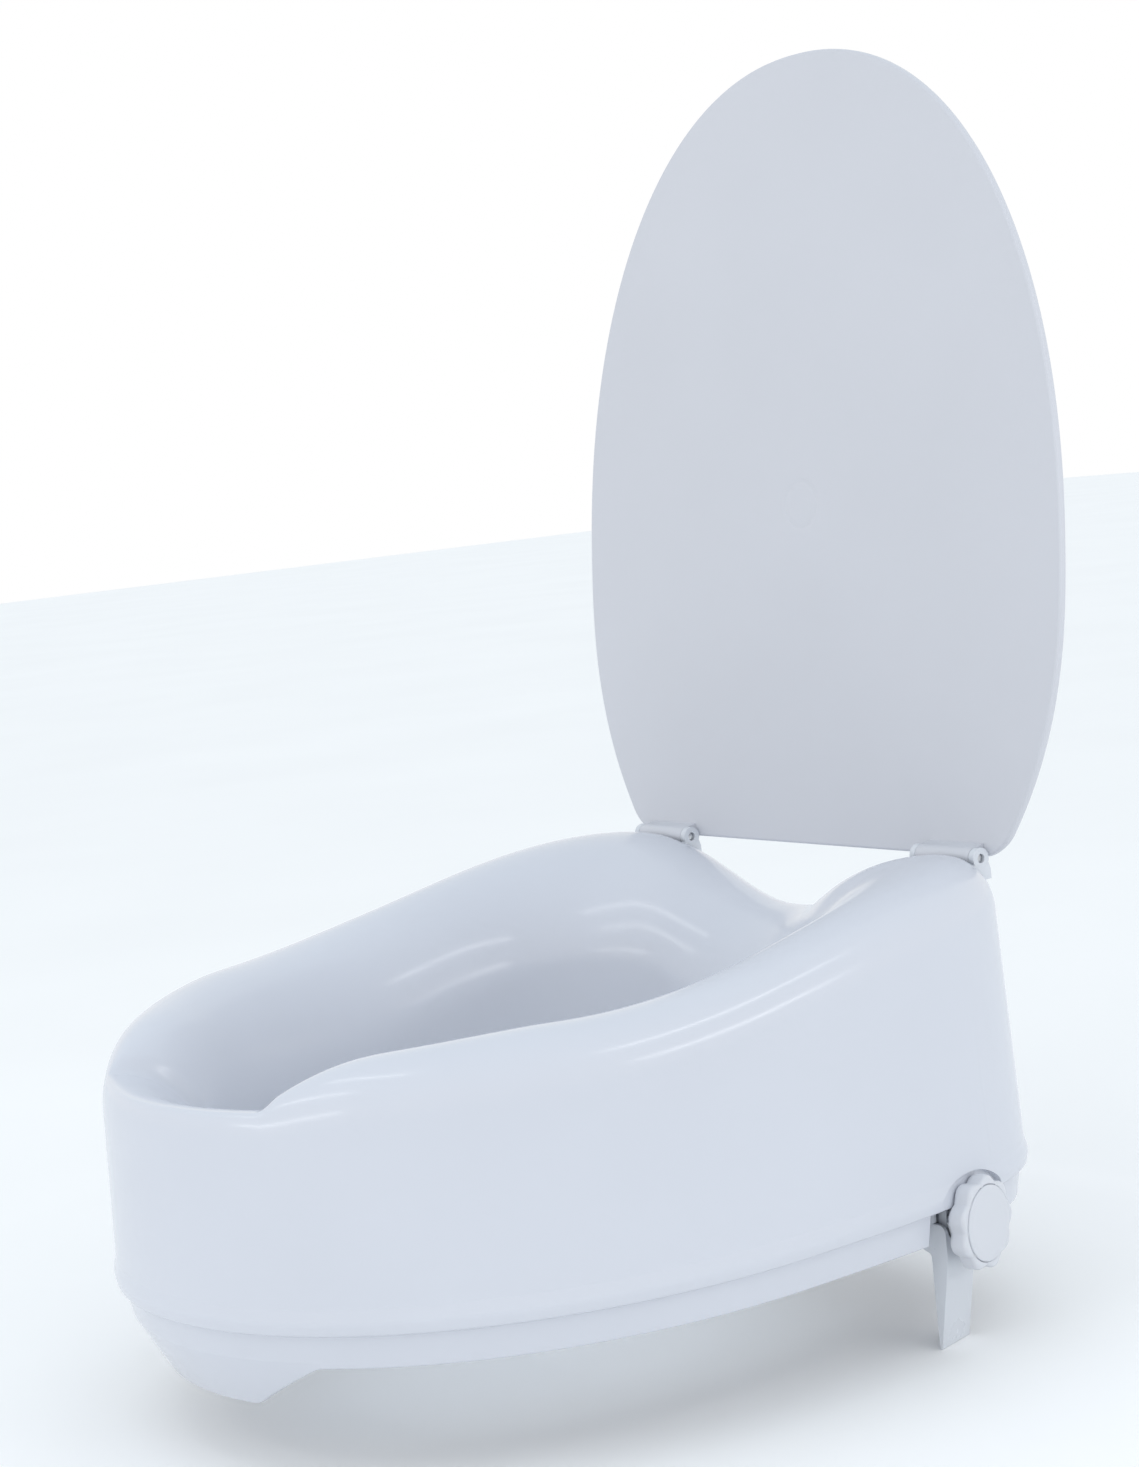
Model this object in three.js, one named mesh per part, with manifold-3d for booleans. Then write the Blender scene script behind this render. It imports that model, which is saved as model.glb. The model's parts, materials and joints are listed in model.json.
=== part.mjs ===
// Raised toilet seat with a hinged lid and two clamping brackets.
// Millimetres, +Z up, -Y to the front. The origin is the centre of the seat's plan,
// on the plane where the seat rests on the rim of the bowl.
import * as THREE from 'three';
import { mergeVertices } from 'three/addons/utils/BufferGeometryUtils.js';
import { ParametricGeometry } from 'three/addons/geometries/ParametricGeometry.js';
import Module from 'manifold-3d';

const wasm = await Module();
wasm.setup();
const { clamp, degToRad, lerp, smoothstep } = THREE.MathUtils;

// ---- Driving dimensions -------------------------------------------------------------

const GAP = 0.3; // between pieces that touch
const WALL = 3.6;

// Plan of the seat, as a radius about a centre on the middle line
const PLAN_Y = 21.75;
const HALF_WIDTH = 175.7;
const FRONT_REACH = 224.3;
const FRONT_POWER = 2.03;
const REAR_REACH = 193;
const REAR_POWER = 3.5;
const REAR_FLAT = 182.2;

// Band and bead at the foot of the skirt
const BAND_FOOT_Z = 0.5;
const BAND_FOOT_INSET = 6.6;
const CREASE_Z = 14.9;
const CREASE_INSET = 4.2;
const BEAD_Z = 21;
const BEAD_TOP_Z = 27;
const BEAD_TOP_INSET = 1.5;

// Crest of the seat
const WING_FRONT_Z = 130.7;
const WING_REAR_Z = 160.3;
const WING_RISE_START_Y = -68;
const WING_RISE_LENGTH = 234;
const WING_DROOP = 4.5;
const WING_DROOP_START_Y = -78;
const WING_DROOP_LENGTH = 57;
const CREST_INSET = 26;
const REAR_CREST_INSET = 30;
const WALL_FLARE = 0.035; // the skirt leans in by this much per millimetre of height
const SHOULDER_DROP = 27;
const SHOULDER_POWER = 2.2;

// Low front rim between the two wings
const RECESS_Z = 107.8;
const RECESS_HALF_WIDTH = 59;
const RECESS_STEP_END = 98;
const RECESS_STEP_POWER = 2.6;
const RECESS_EASE = 0.18; // share of the step over which it starts
const RECESS_CREST_INSET = 8.5;
const RECESS_SHOULDER_DROP = 20;

// Dip in the middle of the rear rim
const DIP_DEPTH = 33.2;
const DIP_HALF_WIDTH = 67.6;

// Funnel inside the seat
const APERTURE_HALF_WIDTH = 101;
const APERTURE_FRONT_REACH = 172;
const APERTURE_REAR_REACH = 99;
const APERTURE_REAR_POWER = 2.8;
const FUNNEL_DROP = 60;
const FUNNEL_FOOT_Z = 10;
const FUNNEL_DRAFT = 6;

// Lip that rests on the rim, and the tab at the front
const LIP_OUTER_INSET = 11.5;
const LIP_INNER_INSET = 28;
const LIP_Z = 4;
const LIP_TOP_Z = 8;
const TAB_DROP = 22.5;
const TAB_LEAN = 13;
const TAB_ROOT_HALF_WIDTH = 80;
const TAB_TIP_HALF_WIDTH = 40;

// Lid hinges
const HINGE_Y = 181.75;
const HINGE_Z = 156;
const HINGE_INNER_X = 85.3;
const HINGE_OUTER_X = 127.9;
const EAR_WIDTH = 3.4;
const KNUCKLE_R = 5;
const PIN_R = 1.85;
const PIN_HOLE_R = 2.2;
const HINGE_SEAT_Z = 145.5;
const HINGE_BASE_Z = 150.5;
const HINGE_FRONT_Y = 175.4;
const HINGE_REAR_Y = 187.4;
const HINGE_SCREW_X = [96, 117];
const HINGE_SCREW_Y = 179;
const BOSS_MARGIN = 4;
const BOSS_FRONT_Y = 168;
const BOSS_DROP = 6;
const BOSS_RISE = 2;
const POCKET_PLAY = 0.7;
const POCKET_RISE = 14;
const SEAT_REAR_Y = 215; // clear of the rear wall

// Lid
const LID_LENGTH = 393;
const LID_HALF_WIDTH = 175.5;
const LID_ROOT_HALF_WIDTH = 133.8;
const LID_WIDEST = 0.37; // where the lid is widest, as a share of its length
const LID_ROOT_POWER = 2.55;
const LID_TIP_POWER = 2.15;
const LID_CORNER_R = 11;
const LID_THICK = 4;
const LID_EDGE_R = 1.3;
const LID_OFFSET = 5.4; // inner face behind the hinge axis
const LID_LEAN = degToRad(5.7);

// Clamps: laid out along +X from the middle line, then turned and moved back
const CLAMP_ROOT_Y = 74.5;
const CLAMP_TURN = degToRad(14);
const STUD_Z = 6;
const STUD_R = 4;
const STUD_BORE_R = 4.35;

// Arch in the band for each clamp, and the pocket above it for the knob
const ARCH_HALF_WIDTH = 25;
const ARCH_SPRING_Z = 12;
const ARCH_CUT_Z = 16;
const ARCH_TOP_Z = 28.5;
const ARCH_IN_X = 120;
const ARCH_OUT_X = 195;
const POCKET_IN_X = 166.6;
const POCKET_BACK_X = 173.4;
const POCKET_OUT_X = 177;
const POCKET_MARGIN = 3.5;

// Guides
const GUIDE_INNER_X = 110;
const GUIDE_OUTER_X = 164;
const GUIDE_WALL = 3.8;
const THRUST_IN_X = 162;
const THRUST_OUT_X = 166;
const THRUST_HALF_WIDTH = 8;
const THRUST_WEB_Z = 15.5;
const FLANGE_WIDTH = 11;
const FLANGE_THICK = 4;
const FLANGE_END = { front: -38, rear: 39.5 };
const GUIDE_SCREWS = { front: [147.5, -32], rear: [153.5, 33.5] };
const SCREW_BORE_R = 2.2;
const BORE_SIDES = 12;

// Clamping brackets
const SLIDER_INNER_X = 142;
const SLIDER_OUTER_X = 158;
const SLIDER_HALF_WIDTH = 12.9;
const SLIDER_FOOT_Z = -3;
const SLIDER_TOP_Z = 28.5;
const NUT_FLATS = 13;
const NUT_THICK = 6.5;
const LEG_HALF_WIDTH = 11.5;
const LEG_TIP_Z = -51.5;
const LEG_ROOT_X = 150;
const LEG_INNER_X = 158.8;
const LEG_OUTER_X = 167;
const LEG_TIP_X = 160;
const LEG_SHOULDER_Z = -10;
const LEG_TOP_Z = 6.5;
const LEG_NOTCH_R = 9.8;

// Knobs
const KNOB_R = 21.2;
const KNOB_VALLEY = 1.9;
const KNOB_LOBES = 9;
const KNOB_BACK_X = 173.9;
const KNOB_FACE_X = 182.6;
const CAP_R = 17;

// ---- Solids -------------------------------------------------------------------------

function solid(geometry) {
  const bare = geometry.index ? geometry.clone() : geometry;
  bare.deleteAttribute('normal');
  bare.deleteAttribute('uv');
  const merged = mergeVertices(bare, 1e-4);
  const mesh = new wasm.Mesh({
    numProp: 3,
    vertProperties: new Float32Array(merged.attributes.position.array),
    triVerts: new Uint32Array(merged.index.array),
  });
  mesh.merge();
  return new wasm.Manifold(mesh);
}

function geometryOf(manifold) {
  const mesh = manifold.getMesh();
  const geometry = new THREE.BufferGeometry();
  geometry.setAttribute('position', new THREE.BufferAttribute(mesh.vertProperties, 3));
  geometry.setIndex(new THREE.BufferAttribute(mesh.triVerts, 1));
  geometry.computeVertexNormals();
  return geometry;
}

function cut(body, ...tools) {
  return tools.reduce((rest, tool) => rest.subtract(tool), body);
}

function join(body, ...more) {
  return more.reduce((sum, piece) => sum.add(piece), body);
}

/** Box between two corners. */
function block(low, high) {
  const size = high.map((value, i) => value - low[i]);
  const middle = high.map((value, i) => (value + low[i]) / 2);
  return new THREE.BoxGeometry(...size).translate(...middle);
}

/** Round bar along X or Z, from one end to the other. */
function bar(axis, radius, from, to, [a, b], sides = 20) {
  const geometry = new THREE.CylinderGeometry(radius, radius, to - from, sides);
  if (axis === 'x') return geometry.rotateZ(-Math.PI / 2).translate((from + to) / 2, a, b);
  return geometry.rotateX(Math.PI / 2).translate(a, b, (from + to) / 2);
}

/** Outline in Y and Z, extruded along X. */
function alongX(shape, from, to, options = {}) {
  const geometry = new THREE.ExtrudeGeometry(shape, {
    depth: to - from, bevelEnabled: false, curveSegments: 8, ...options,
  });
  return geometry.rotateX(Math.PI / 2).rotateZ(Math.PI / 2).translate(from, 0, 0);
}

/** Outline in X and Z, extruded along Y. */
function alongY(shape, from, to) {
  const geometry = new THREE.ExtrudeGeometry(shape, { depth: to - from, bevelEnabled: false });
  return geometry.rotateX(Math.PI / 2).translate(0, to, 0);
}

/** Turned piece: its profile is radius and distance along +X from a point on the clamp axis. */
function turned(profile, sides = 32) {
  const points = profile.map(([radius, x]) => new THREE.Vector2(radius, x));
  return new THREE.LatheGeometry(points, sides).rotateZ(-Math.PI / 2).translate(0, 0, STUD_Z);
}

/** Moves a piece of the right clamp from its layout to its place on the seat. */
function clampPlace(geometry) {
  return geometry.rotateZ(CLAMP_TURN).translate(0, CLAMP_ROOT_Y, 0);
}

function shapeOf(points) {
  return new THREE.Shape(points.map(([a, b]) => new THREE.Vector2(a, b)));
}

function mirrored(geometry) {
  const copy = geometry.clone().scale(-1, 1, 1);
  const order = copy.index ? copy.index.array : null;
  if (order) {
    for (let i = 0; i < order.length; i += 3) [order[i], order[i + 1]] = [order[i + 1], order[i]];
    return copy;
  }
  const places = copy.attributes.position.array;
  for (let i = 0; i < places.length; i += 9) {
    for (let k = 0; k < 3; k += 1) [places[i + k], places[i + 3 + k]] = [places[i + 3 + k], places[i + k]];
  }
  return copy;
}

// ---- Seat plan and section ----------------------------------------------------------

/** Radius of a superellipse about the plan's centre. */
function ovalRadius(angle, halfWidth, reach, power) {
  const across = Math.abs(Math.cos(angle)) / halfWidth;
  const along = Math.abs(Math.sin(angle)) / reach;
  return (across ** power + along ** power) ** (-1 / power);
}

/** Distance from the plan's centre to the outside of the bead. */
function planRadius(angle) {
  const along = Math.sin(angle);
  if (along <= 0) return ovalRadius(angle, HALF_WIDTH, FRONT_REACH, FRONT_POWER);
  const round = ovalRadius(angle, HALF_WIDTH, REAR_REACH, REAR_POWER);
  const blend = 24;
  return (round ** -blend + (REAR_FLAT / along) ** -blend) ** (-1 / blend);
}

/** Distance from the plan's centre to the inside of the funnel's foot. */
function apertureRadius(angle) {
  return Math.sin(angle) > 0
    ? ovalRadius(angle, APERTURE_HALF_WIDTH, APERTURE_REAR_REACH, APERTURE_REAR_POWER)
    : ovalRadius(angle, APERTURE_HALF_WIDTH, APERTURE_FRONT_REACH, 2);
}

/** Length along the radius that moves a point by one millimetre square to the plan. */
function radialStretch(angle) {
  const step = 0.01;
  const slope = (planRadius(angle + step) - planRadius(angle - step)) / (2 * step);
  return Math.hypot(1, slope / planRadius(angle));
}

function planPoint(angle, inset) {
  const radius = planRadius(angle) - inset * radialStretch(angle);
  return [radius * Math.cos(angle), PLAN_Y + radius * Math.sin(angle)];
}

/** Share of the low front rim, 1 in the middle of the front and 0 on the wings. */
function recessShare(angle) {
  if (Math.sin(angle) > 0) return 0;
  const [x] = planPoint(angle, CREST_INSET);
  const along = clamp((Math.abs(x) - RECESS_HALF_WIDTH) / (RECESS_STEP_END - RECESS_HALF_WIDTH), 0, 1);
  return 1 - (1 - (1 - along) ** RECESS_STEP_POWER) * smoothstep(along, 0, RECESS_EASE);
}

function crestHeight(angle) {
  const [x, y] = planPoint(angle, CREST_INSET);
  const along = clamp((y - WING_RISE_START_Y) / WING_RISE_LENGTH, 0, 1);
  const rise = (WING_REAR_Z - WING_FRONT_Z) * (1 - Math.cos(Math.PI * along)) / 2;
  const droop = WING_DROOP * Math.max(0, (WING_DROOP_START_Y - y) / WING_DROOP_LENGTH) ** 1.5;
  const dip = Math.sin(angle) > 0 ? DIP_DEPTH * Math.exp(-((Math.abs(x) / DIP_HALF_WIDTH) ** 2.4)) : 0;
  return lerp(WING_FRONT_Z + rise - droop - dip, RECESS_Z, recessShare(angle));
}

/** Quarter of a superellipse between two tangent points, the first one upright. */
function quarter(inset0, z0, inset1, z1, power, steps, skipFirst) {
  const points = [];
  for (let i = skipFirst ? 1 : 0; i <= steps; i += 1) {
    const turn = (i / steps) * Math.PI / 2;
    const inset = inset1 + (inset0 - inset1) * Math.cos(turn) ** (2 / power);
    const z = z0 + (z1 - z0) * Math.sin(turn) ** (2 / power);
    points.push([inset, z]);
  }
  return points;
}

/** Measures of the section at one angle. */
function sectionAt(angle) {
  const recess = recessShare(angle);
  const crestZ = crestHeight(angle);
  const shoulderZ = crestZ - lerp(SHOULDER_DROP, RECESS_SHOULDER_DROP, recess);
  const shoulderInset = BEAD_TOP_INSET + WALL_FLARE * (shoulderZ - BEAD_TOP_Z);
  const wingInset = lerp(CREST_INSET, REAR_CREST_INSET, smoothstep(Math.sin(angle), 0.4, 0.85));
  const crestInset = lerp(wingInset, RECESS_CREST_INSET, recess);
  const footInset = (planRadius(angle) - apertureRadius(angle)) / radialStretch(angle);
  const funnelInset = footInset - FUNNEL_DRAFT;
  return { crestZ, shoulderZ, shoulderInset, crestInset, funnelInset, funnelZ: crestZ - FUNNEL_DROP };
}

/** Share of the front tab, 1 along its lower edge and 0 past its roots. */
function tabShare(angle) {
  if (Math.sin(angle) > 0) return 0;
  const [x] = planPoint(angle, BAND_FOOT_INSET);
  return clamp((TAB_ROOT_HALF_WIDTH - Math.abs(x)) / (TAB_ROOT_HALF_WIDTH - TAB_TIP_HALF_WIDTH), 0, 1);
}

/** Visible side of the section, from the foot of the band over the crest to the funnel's foot. */
function outerProfile(angle) {
  const s = sectionAt(angle);
  const tab = tabShare(angle);
  return [
    [BAND_FOOT_INSET + TAB_LEAN * tab, BAND_FOOT_Z - TAB_DROP * tab],
    [BAND_FOOT_INSET - 0.4, BAND_FOOT_Z + 2.5],
    [CREASE_INSET, CREASE_Z],
    [0.9, CREASE_Z + 1.2],
    [0, BEAD_Z],
    [BEAD_TOP_INSET, BEAD_TOP_Z],
    ...quarter(s.shoulderInset, s.shoulderZ, s.crestInset, s.crestZ, SHOULDER_POWER, 5, false),
    ...quarter(s.funnelInset, s.funnelZ, s.crestInset, s.crestZ, 2, 5, false).reverse().slice(1),
    [s.funnelInset + FUNNEL_DRAFT, FUNNEL_FOOT_Z],
  ];
}

/** Hidden side of the section, from the funnel's foot back to the foot of the band. */
function innerProfile(angle) {
  const s = sectionAt(angle);
  const tab = tabShare(angle);
  const topZ = s.crestZ - WALL;
  return [
    [s.funnelInset + FUNNEL_DRAFT - WALL, FUNNEL_FOOT_Z],
    ...quarter(s.funnelInset - WALL, s.funnelZ, s.crestInset, topZ, 2, 3, false),
    ...quarter(s.shoulderInset + WALL, s.shoulderZ, s.crestInset, topZ, SHOULDER_POWER, 3, true)
      .reverse().slice(1),
    [s.shoulderInset + WALL, s.shoulderZ],
    [BEAD_TOP_INSET + WALL, BEAD_TOP_Z],
    [LIP_OUTER_INSET, LIP_TOP_Z],
    [LIP_INNER_INSET, LIP_TOP_Z],
    [LIP_INNER_INSET, LIP_Z],
    [LIP_OUTER_INSET, LIP_Z],
    [BAND_FOOT_INSET + WALL + TAB_LEAN * tab, BAND_FOOT_Z - TAB_DROP * tab],
  ];
}

/** Ring swept around the plan, with its columns closer together at the front and rear. */
function ring(profileAt, columns) {
  const angles = Array.from({ length: columns }, (_, i) => {
    const even = (2 * Math.PI * i) / columns;
    return even + 0.18 * Math.sin(2 * even);
  });
  const profiles = angles.map(profileAt);
  const rows = profiles[0].length;
  const place = (u, v, target) => {
    const column = Math.round(v * columns) % columns;
    const row = Math.round((1 - u) * rows) % rows;
    const [inset, z] = profiles[column][row];
    target.set(...planPoint(angles[column], inset), z);
  };
  return new ParametricGeometry(place, rows, columns);
}

// ---- Seat body ----------------------------------------------------------------------

/** Arch of the knob's pocket in Y and Z. */
function archShape() {
  const shape = new THREE.Shape();
  shape.moveTo(-ARCH_HALF_WIDTH, LIP_Z);
  shape.lineTo(ARCH_HALF_WIDTH, LIP_Z);
  shape.lineTo(ARCH_HALF_WIDTH, ARCH_SPRING_Z);
  shape.absellipse(0, ARCH_SPRING_Z, ARCH_HALF_WIDTH, ARCH_TOP_Z - ARCH_SPRING_Z, 0, Math.PI, false);
  shape.closePath();
  return shape;
}

/** Solid of the right side, in its place or mirrored for the left side. */
function sided(side, geometry) {
  return solid(side < 0 ? mirrored(geometry) : geometry);
}

function seatBody() {
  const columns = 84;
  const shell = solid(ring((angle) => [...outerProfile(angle), ...innerProfile(angle)], columns));
  const filled = solid(ring(outerProfile, columns));
  const hingeBoss = block(
    [HINGE_INNER_X - BOSS_MARGIN, BOSS_FRONT_Y, HINGE_SEAT_Z - BOSS_DROP],
    [HINGE_OUTER_X + BOSS_MARGIN, SEAT_REAR_Y, HINGE_Z + BOSS_RISE],
  );
  const hingePocket = block(
    [HINGE_INNER_X - POCKET_PLAY, HINGE_FRONT_Y - POCKET_PLAY, HINGE_SEAT_Z],
    [HINGE_OUTER_X + POCKET_PLAY, SEAT_REAR_Y, HINGE_Z + POCKET_RISE],
  );
  const reach = ARCH_HALF_WIDTH + POCKET_MARGIN;
  const knobBoss = clampPlace(block(
    [POCKET_IN_X, -reach, ARCH_CUT_Z], [POCKET_OUT_X, reach, ARCH_TOP_Z + POCKET_MARGIN],
  ));
  const cuts = [
    hingePocket,
    clampPlace(block(
      [ARCH_IN_X, -ARCH_HALF_WIDTH, LEG_TIP_Z], [ARCH_OUT_X, ARCH_HALF_WIDTH, ARCH_CUT_Z],
    )),
    clampPlace(alongX(archShape(), POCKET_BACK_X, ARCH_OUT_X)),
    ...HINGE_SCREW_X.map((x) => {
      const [from, to] = [HINGE_SEAT_Z - BOSS_DROP - 5, HINGE_SEAT_Z + 5];
      return bar('z', SCREW_BORE_R, from, to, [x, HINGE_SCREW_Y], BORE_SIDES);
    }),
    ...Object.values(GUIDE_SCREWS).map((at) => {
      return clampPlace(bar('z', SCREW_BORE_R, LIP_Z - 1, LIP_TOP_Z + 1, at, BORE_SIDES));
    }),
  ];
  const bosses = [-1, 1].flatMap((side) => {
    return [hingeBoss, knobBoss].map((boss) => filled.intersect(sided(side, boss)));
  });
  const tools = [-1, 1].flatMap((side) => cuts.map((geometry) => sided(side, geometry)));
  return geometryOf(cut(join(shell, ...bosses), ...tools));
}

// ---- Lid ----------------------------------------------------------------------------

/** Half-width of the lid at a distance from its hinged edge. */
function lidHalfWidth(distance) {
  const share = distance / LID_LENGTH;
  if (share > LID_WIDEST) {
    const t = Math.min(1, (share - LID_WIDEST) / (1 - LID_WIDEST));
    return LID_HALF_WIDTH * (1 - t ** LID_TIP_POWER) ** (1 / LID_TIP_POWER);
  }
  const t = (LID_WIDEST - share) / LID_WIDEST;
  const width = LID_HALF_WIDTH - (LID_HALF_WIDTH - LID_ROOT_HALF_WIDTH) * t ** LID_ROOT_POWER;
  const fromCorner = Math.max(0, LID_CORNER_R - distance);
  return width - (LID_CORNER_R - Math.sqrt(LID_CORNER_R ** 2 - fromCorner ** 2));
}

function lidOutline() {
  const corner = [0, 0.08, 0.3, 0.6, 1].map((share) => share * LID_CORNER_R);
  const root = Array.from({ length: 12 }, (_, i) => {
    return lerp(LID_CORNER_R, LID_WIDEST * LID_LENGTH, (i + 1) / 12);
  });
  const tip = Array.from({ length: 26 }, (_, i) => {
    const turn = ((i + 1) / 26) * Math.PI / 2;
    return LID_LENGTH * (LID_WIDEST + (1 - LID_WIDEST) * Math.sin(turn) ** (2 / LID_TIP_POWER));
  });
  const right = [...corner, ...root, ...tip].map((distance) => [lidHalfWidth(distance), distance]);
  const left = right.slice(0, -1).reverse().map(([x, distance]) => [-x, distance]);
  return [...right, ...left];
}

/** Knuckle of the lid in Y and Z about the hinge axis, with its web to the plate behind it. */
function knuckleShape() {
  const shape = new THREE.Shape();
  shape.moveTo(0, KNUCKLE_R);
  shape.absarc(0, 0, KNUCKLE_R, Math.PI / 2, (3 * Math.PI) / 2, false);
  shape.lineTo(LID_OFFSET + 1.5, -1);
  shape.lineTo(LID_OFFSET + 1.5, KNUCKLE_R + 2);
  shape.closePath();
  const hole = new THREE.Path();
  hole.absarc(0, 0, PIN_HOLE_R, 0, 2 * Math.PI, true);
  shape.holes.push(hole);
  return shape;
}

function lidPiece() {
  const inward = 2 * LID_EDGE_R;
  const outline = shapeOf(lidOutline());
  const plate = new THREE.ExtrudeGeometry(outline, {
    depth: LID_THICK - inward,
    bevelSize: LID_EDGE_R,
    bevelOffset: -LID_EDGE_R,
    bevelThickness: LID_EDGE_R,
    bevelSegments: 1,
  });
  plate.translate(0, 0, LID_EDGE_R).rotateX(Math.PI / 2).translate(0, LID_OFFSET + LID_THICK, 0);
  let lid = solid(plate);
  const near = HINGE_INNER_X + EAR_WIDTH + GAP;
  const far = HINGE_OUTER_X - EAR_WIDTH - GAP;
  const knuckle = alongX(knuckleShape(), near, far);
  lid = join(lid, solid(knuckle), solid(mirrored(knuckle)));
  return geometryOf(lid);
}

// ---- Hinge hardware -----------------------------------------------------------------

function earShape() {
  const shape = new THREE.Shape();
  shape.moveTo(HINGE_FRONT_Y, HINGE_SEAT_Z + GAP);
  shape.lineTo(HINGE_REAR_Y, HINGE_SEAT_Z + GAP);
  shape.lineTo(HINGE_REAR_Y, HINGE_BASE_Z);
  shape.lineTo(HINGE_Y + KNUCKLE_R * 0.9, HINGE_Z - KNUCKLE_R * 0.45);
  shape.absarc(HINGE_Y, HINGE_Z, KNUCKLE_R, -0.46, Math.PI + 0.46, false);
  shape.lineTo(HINGE_FRONT_Y, HINGE_BASE_Z);
  shape.closePath();
  const hole = new THREE.Path();
  hole.absarc(HINGE_Y, HINGE_Z, PIN_HOLE_R, 0, 2 * Math.PI, true);
  shape.holes.push(hole);
  return shape;
}

function hingeBlock() {
  const base = block(
    [HINGE_INNER_X, HINGE_FRONT_Y, HINGE_SEAT_Z + GAP],
    [HINGE_OUTER_X, HINGE_REAR_Y, HINGE_BASE_Z],
  );
  const ears = [HINGE_INNER_X, HINGE_OUTER_X - EAR_WIDTH].map((x) => {
    return solid(alongX(earShape(), x, x + EAR_WIDTH));
  });
  const holes = HINGE_SCREW_X.map((x) => {
    return solid(bar('z', 2.2, HINGE_SEAT_Z - 2, HINGE_SEAT_Z + 4.4, [x, HINGE_SCREW_Y], 12));
  });
  return geometryOf(cut(join(solid(base), ...ears), ...holes));
}

function hingePin() {
  return bar('x', PIN_R, HINGE_INNER_X + 1.2, HINGE_OUTER_X - 1.2, [HINGE_Y, HINGE_Z], 18);
}

/** Pan-head screw driven upwards: its head hangs below the face at z. */
function screw(x, y, z, length, shankR, headR, headHeight) {
  const points = [
    [0, -headHeight], [headR * 0.75, -headHeight], [headR, -headHeight / 2], [headR, 0],
    [shankR, 0], [shankR, length - shankR], [0, length],
  ].map(([radius, height]) => new THREE.Vector2(radius, height));
  return new THREE.LatheGeometry(points, 12).rotateX(Math.PI / 2).translate(x, y, z - GAP);
}

// ---- Clamp: guide, bracket, stud and knob -------------------------------------------

function guideBlock() {
  const inY = SLIDER_HALF_WIDTH + GAP + 0.1;
  const outY = inY + GUIDE_WALL;
  const topZ = SLIDER_TOP_Z + 0.5;
  const footZ = LIP_TOP_Z + GAP;
  const roofZ = topZ + FLANGE_THICK;
  const flange = (where) => {
    const [x] = GUIDE_SCREWS[where];
    const [from, to] = [Math.sign(FLANGE_END[where]) * inY, FLANGE_END[where]].sort((a, b) => a - b);
    return block([x - FLANGE_WIDTH / 2, from, footZ], [x + FLANGE_WIDTH / 2, to, footZ + FLANGE_THICK]);
  };
  const pieces = [
    block([GUIDE_INNER_X, -outY, topZ], [GUIDE_OUTER_X, outY, roofZ]),
    block([GUIDE_INNER_X, -outY, footZ], [GUIDE_OUTER_X, -inY, topZ + 0.1]),
    block([GUIDE_INNER_X, inY, footZ], [GUIDE_OUTER_X, outY, topZ + 0.1]),
    flange('front'),
    flange('rear'),
    block([THRUST_IN_X, -THRUST_HALF_WIDTH, BAND_FOOT_Z], [THRUST_OUT_X, THRUST_HALF_WIDTH, topZ + 0.1]),
    block([THRUST_IN_X, -THRUST_HALF_WIDTH, topZ - 0.1], [THRUST_OUT_X, THRUST_HALF_WIDTH, roofZ]),
    block([THRUST_IN_X, -inY - 1, THRUST_WEB_Z], [GUIDE_OUTER_X, inY + 1, topZ + 0.1]),
  ].map(solid);
  const holes = [
    bar('x', STUD_BORE_R, SLIDER_OUTER_X, KNOB_BACK_X, [0, STUD_Z]),
    block([SLIDER_OUTER_X, -STUD_BORE_R, SLIDER_FOOT_Z], [KNOB_BACK_X, STUD_BORE_R, STUD_Z]),
    ...Object.values(GUIDE_SCREWS).map((at) => {
      return bar('z', SCREW_BORE_R, LIP_Z, footZ + FLANGE_THICK + 1, at, BORE_SIDES);
    }),
  ].map(solid);
  return geometryOf(cut(join(...pieces), ...holes));
}

function hexagon(flats) {
  const radius = flats / Math.sqrt(3);
  return shapeOf(Array.from({ length: 6 }, (_, i) => {
    const angle = degToRad(60 * i);
    return [radius * Math.cos(angle), STUD_Z + radius * Math.sin(angle)];
  }));
}

/** Slider with its leg. The top of the leg has two cheeks beside the stud. */
function bracketPiece() {
  const slider = block(
    [SLIDER_INNER_X, -SLIDER_HALF_WIDTH, SLIDER_FOOT_Z],
    [SLIDER_OUTER_X, SLIDER_HALF_WIDTH, SLIDER_TOP_Z],
  );
  const topInX = SLIDER_OUTER_X + 1.5;
  const leg = shapeOf([
    [LEG_ROOT_X, LEG_TOP_Z], [LEG_ROOT_X, SLIDER_FOOT_Z - 0.5], [LEG_INNER_X, LEG_SHOULDER_Z + 2.5],
    [LEG_TIP_X - 1.2, LEG_TIP_Z], [LEG_TIP_X, LEG_TIP_Z], [LEG_OUTER_X, LEG_SHOULDER_Z],
    [LEG_OUTER_X, 1], [LEG_OUTER_X - 1.2, LEG_TOP_Z - 2.2], [LEG_OUTER_X - 3.4, LEG_TOP_Z - 0.4],
    [topInX + 1, LEG_TOP_Z],
  ]);
  const notch = solid(bar('x', LEG_NOTCH_R, SLIDER_OUTER_X, KNOB_BACK_X, [0, STUD_Z], 32));
  const legSolid = cut(solid(alongY(leg, -LEG_HALF_WIDTH, LEG_HALF_WIDTH)), notch);
  const nutEnd = SLIDER_INNER_X + NUT_THICK + 2 * GAP;
  const bore = solid(bar('x', STUD_BORE_R + 0.2, SLIDER_INNER_X - 5, SLIDER_OUTER_X + 5, [0, STUD_Z]));
  const pocket = solid(alongX(hexagon(NUT_FLATS + 0.7), SLIDER_INNER_X - 5, nutEnd));
  return geometryOf(cut(join(solid(slider), legSolid), bore, pocket));
}

function captiveNut() {
  const [start, end] = [SLIDER_INNER_X + GAP, SLIDER_INNER_X + GAP + NUT_THICK];
  const bore = solid(bar('x', STUD_BORE_R, start - 1, end + 1, [0, STUD_Z]));
  return geometryOf(cut(solid(alongX(hexagon(NUT_FLATS), start, end)), bore));
}

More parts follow.
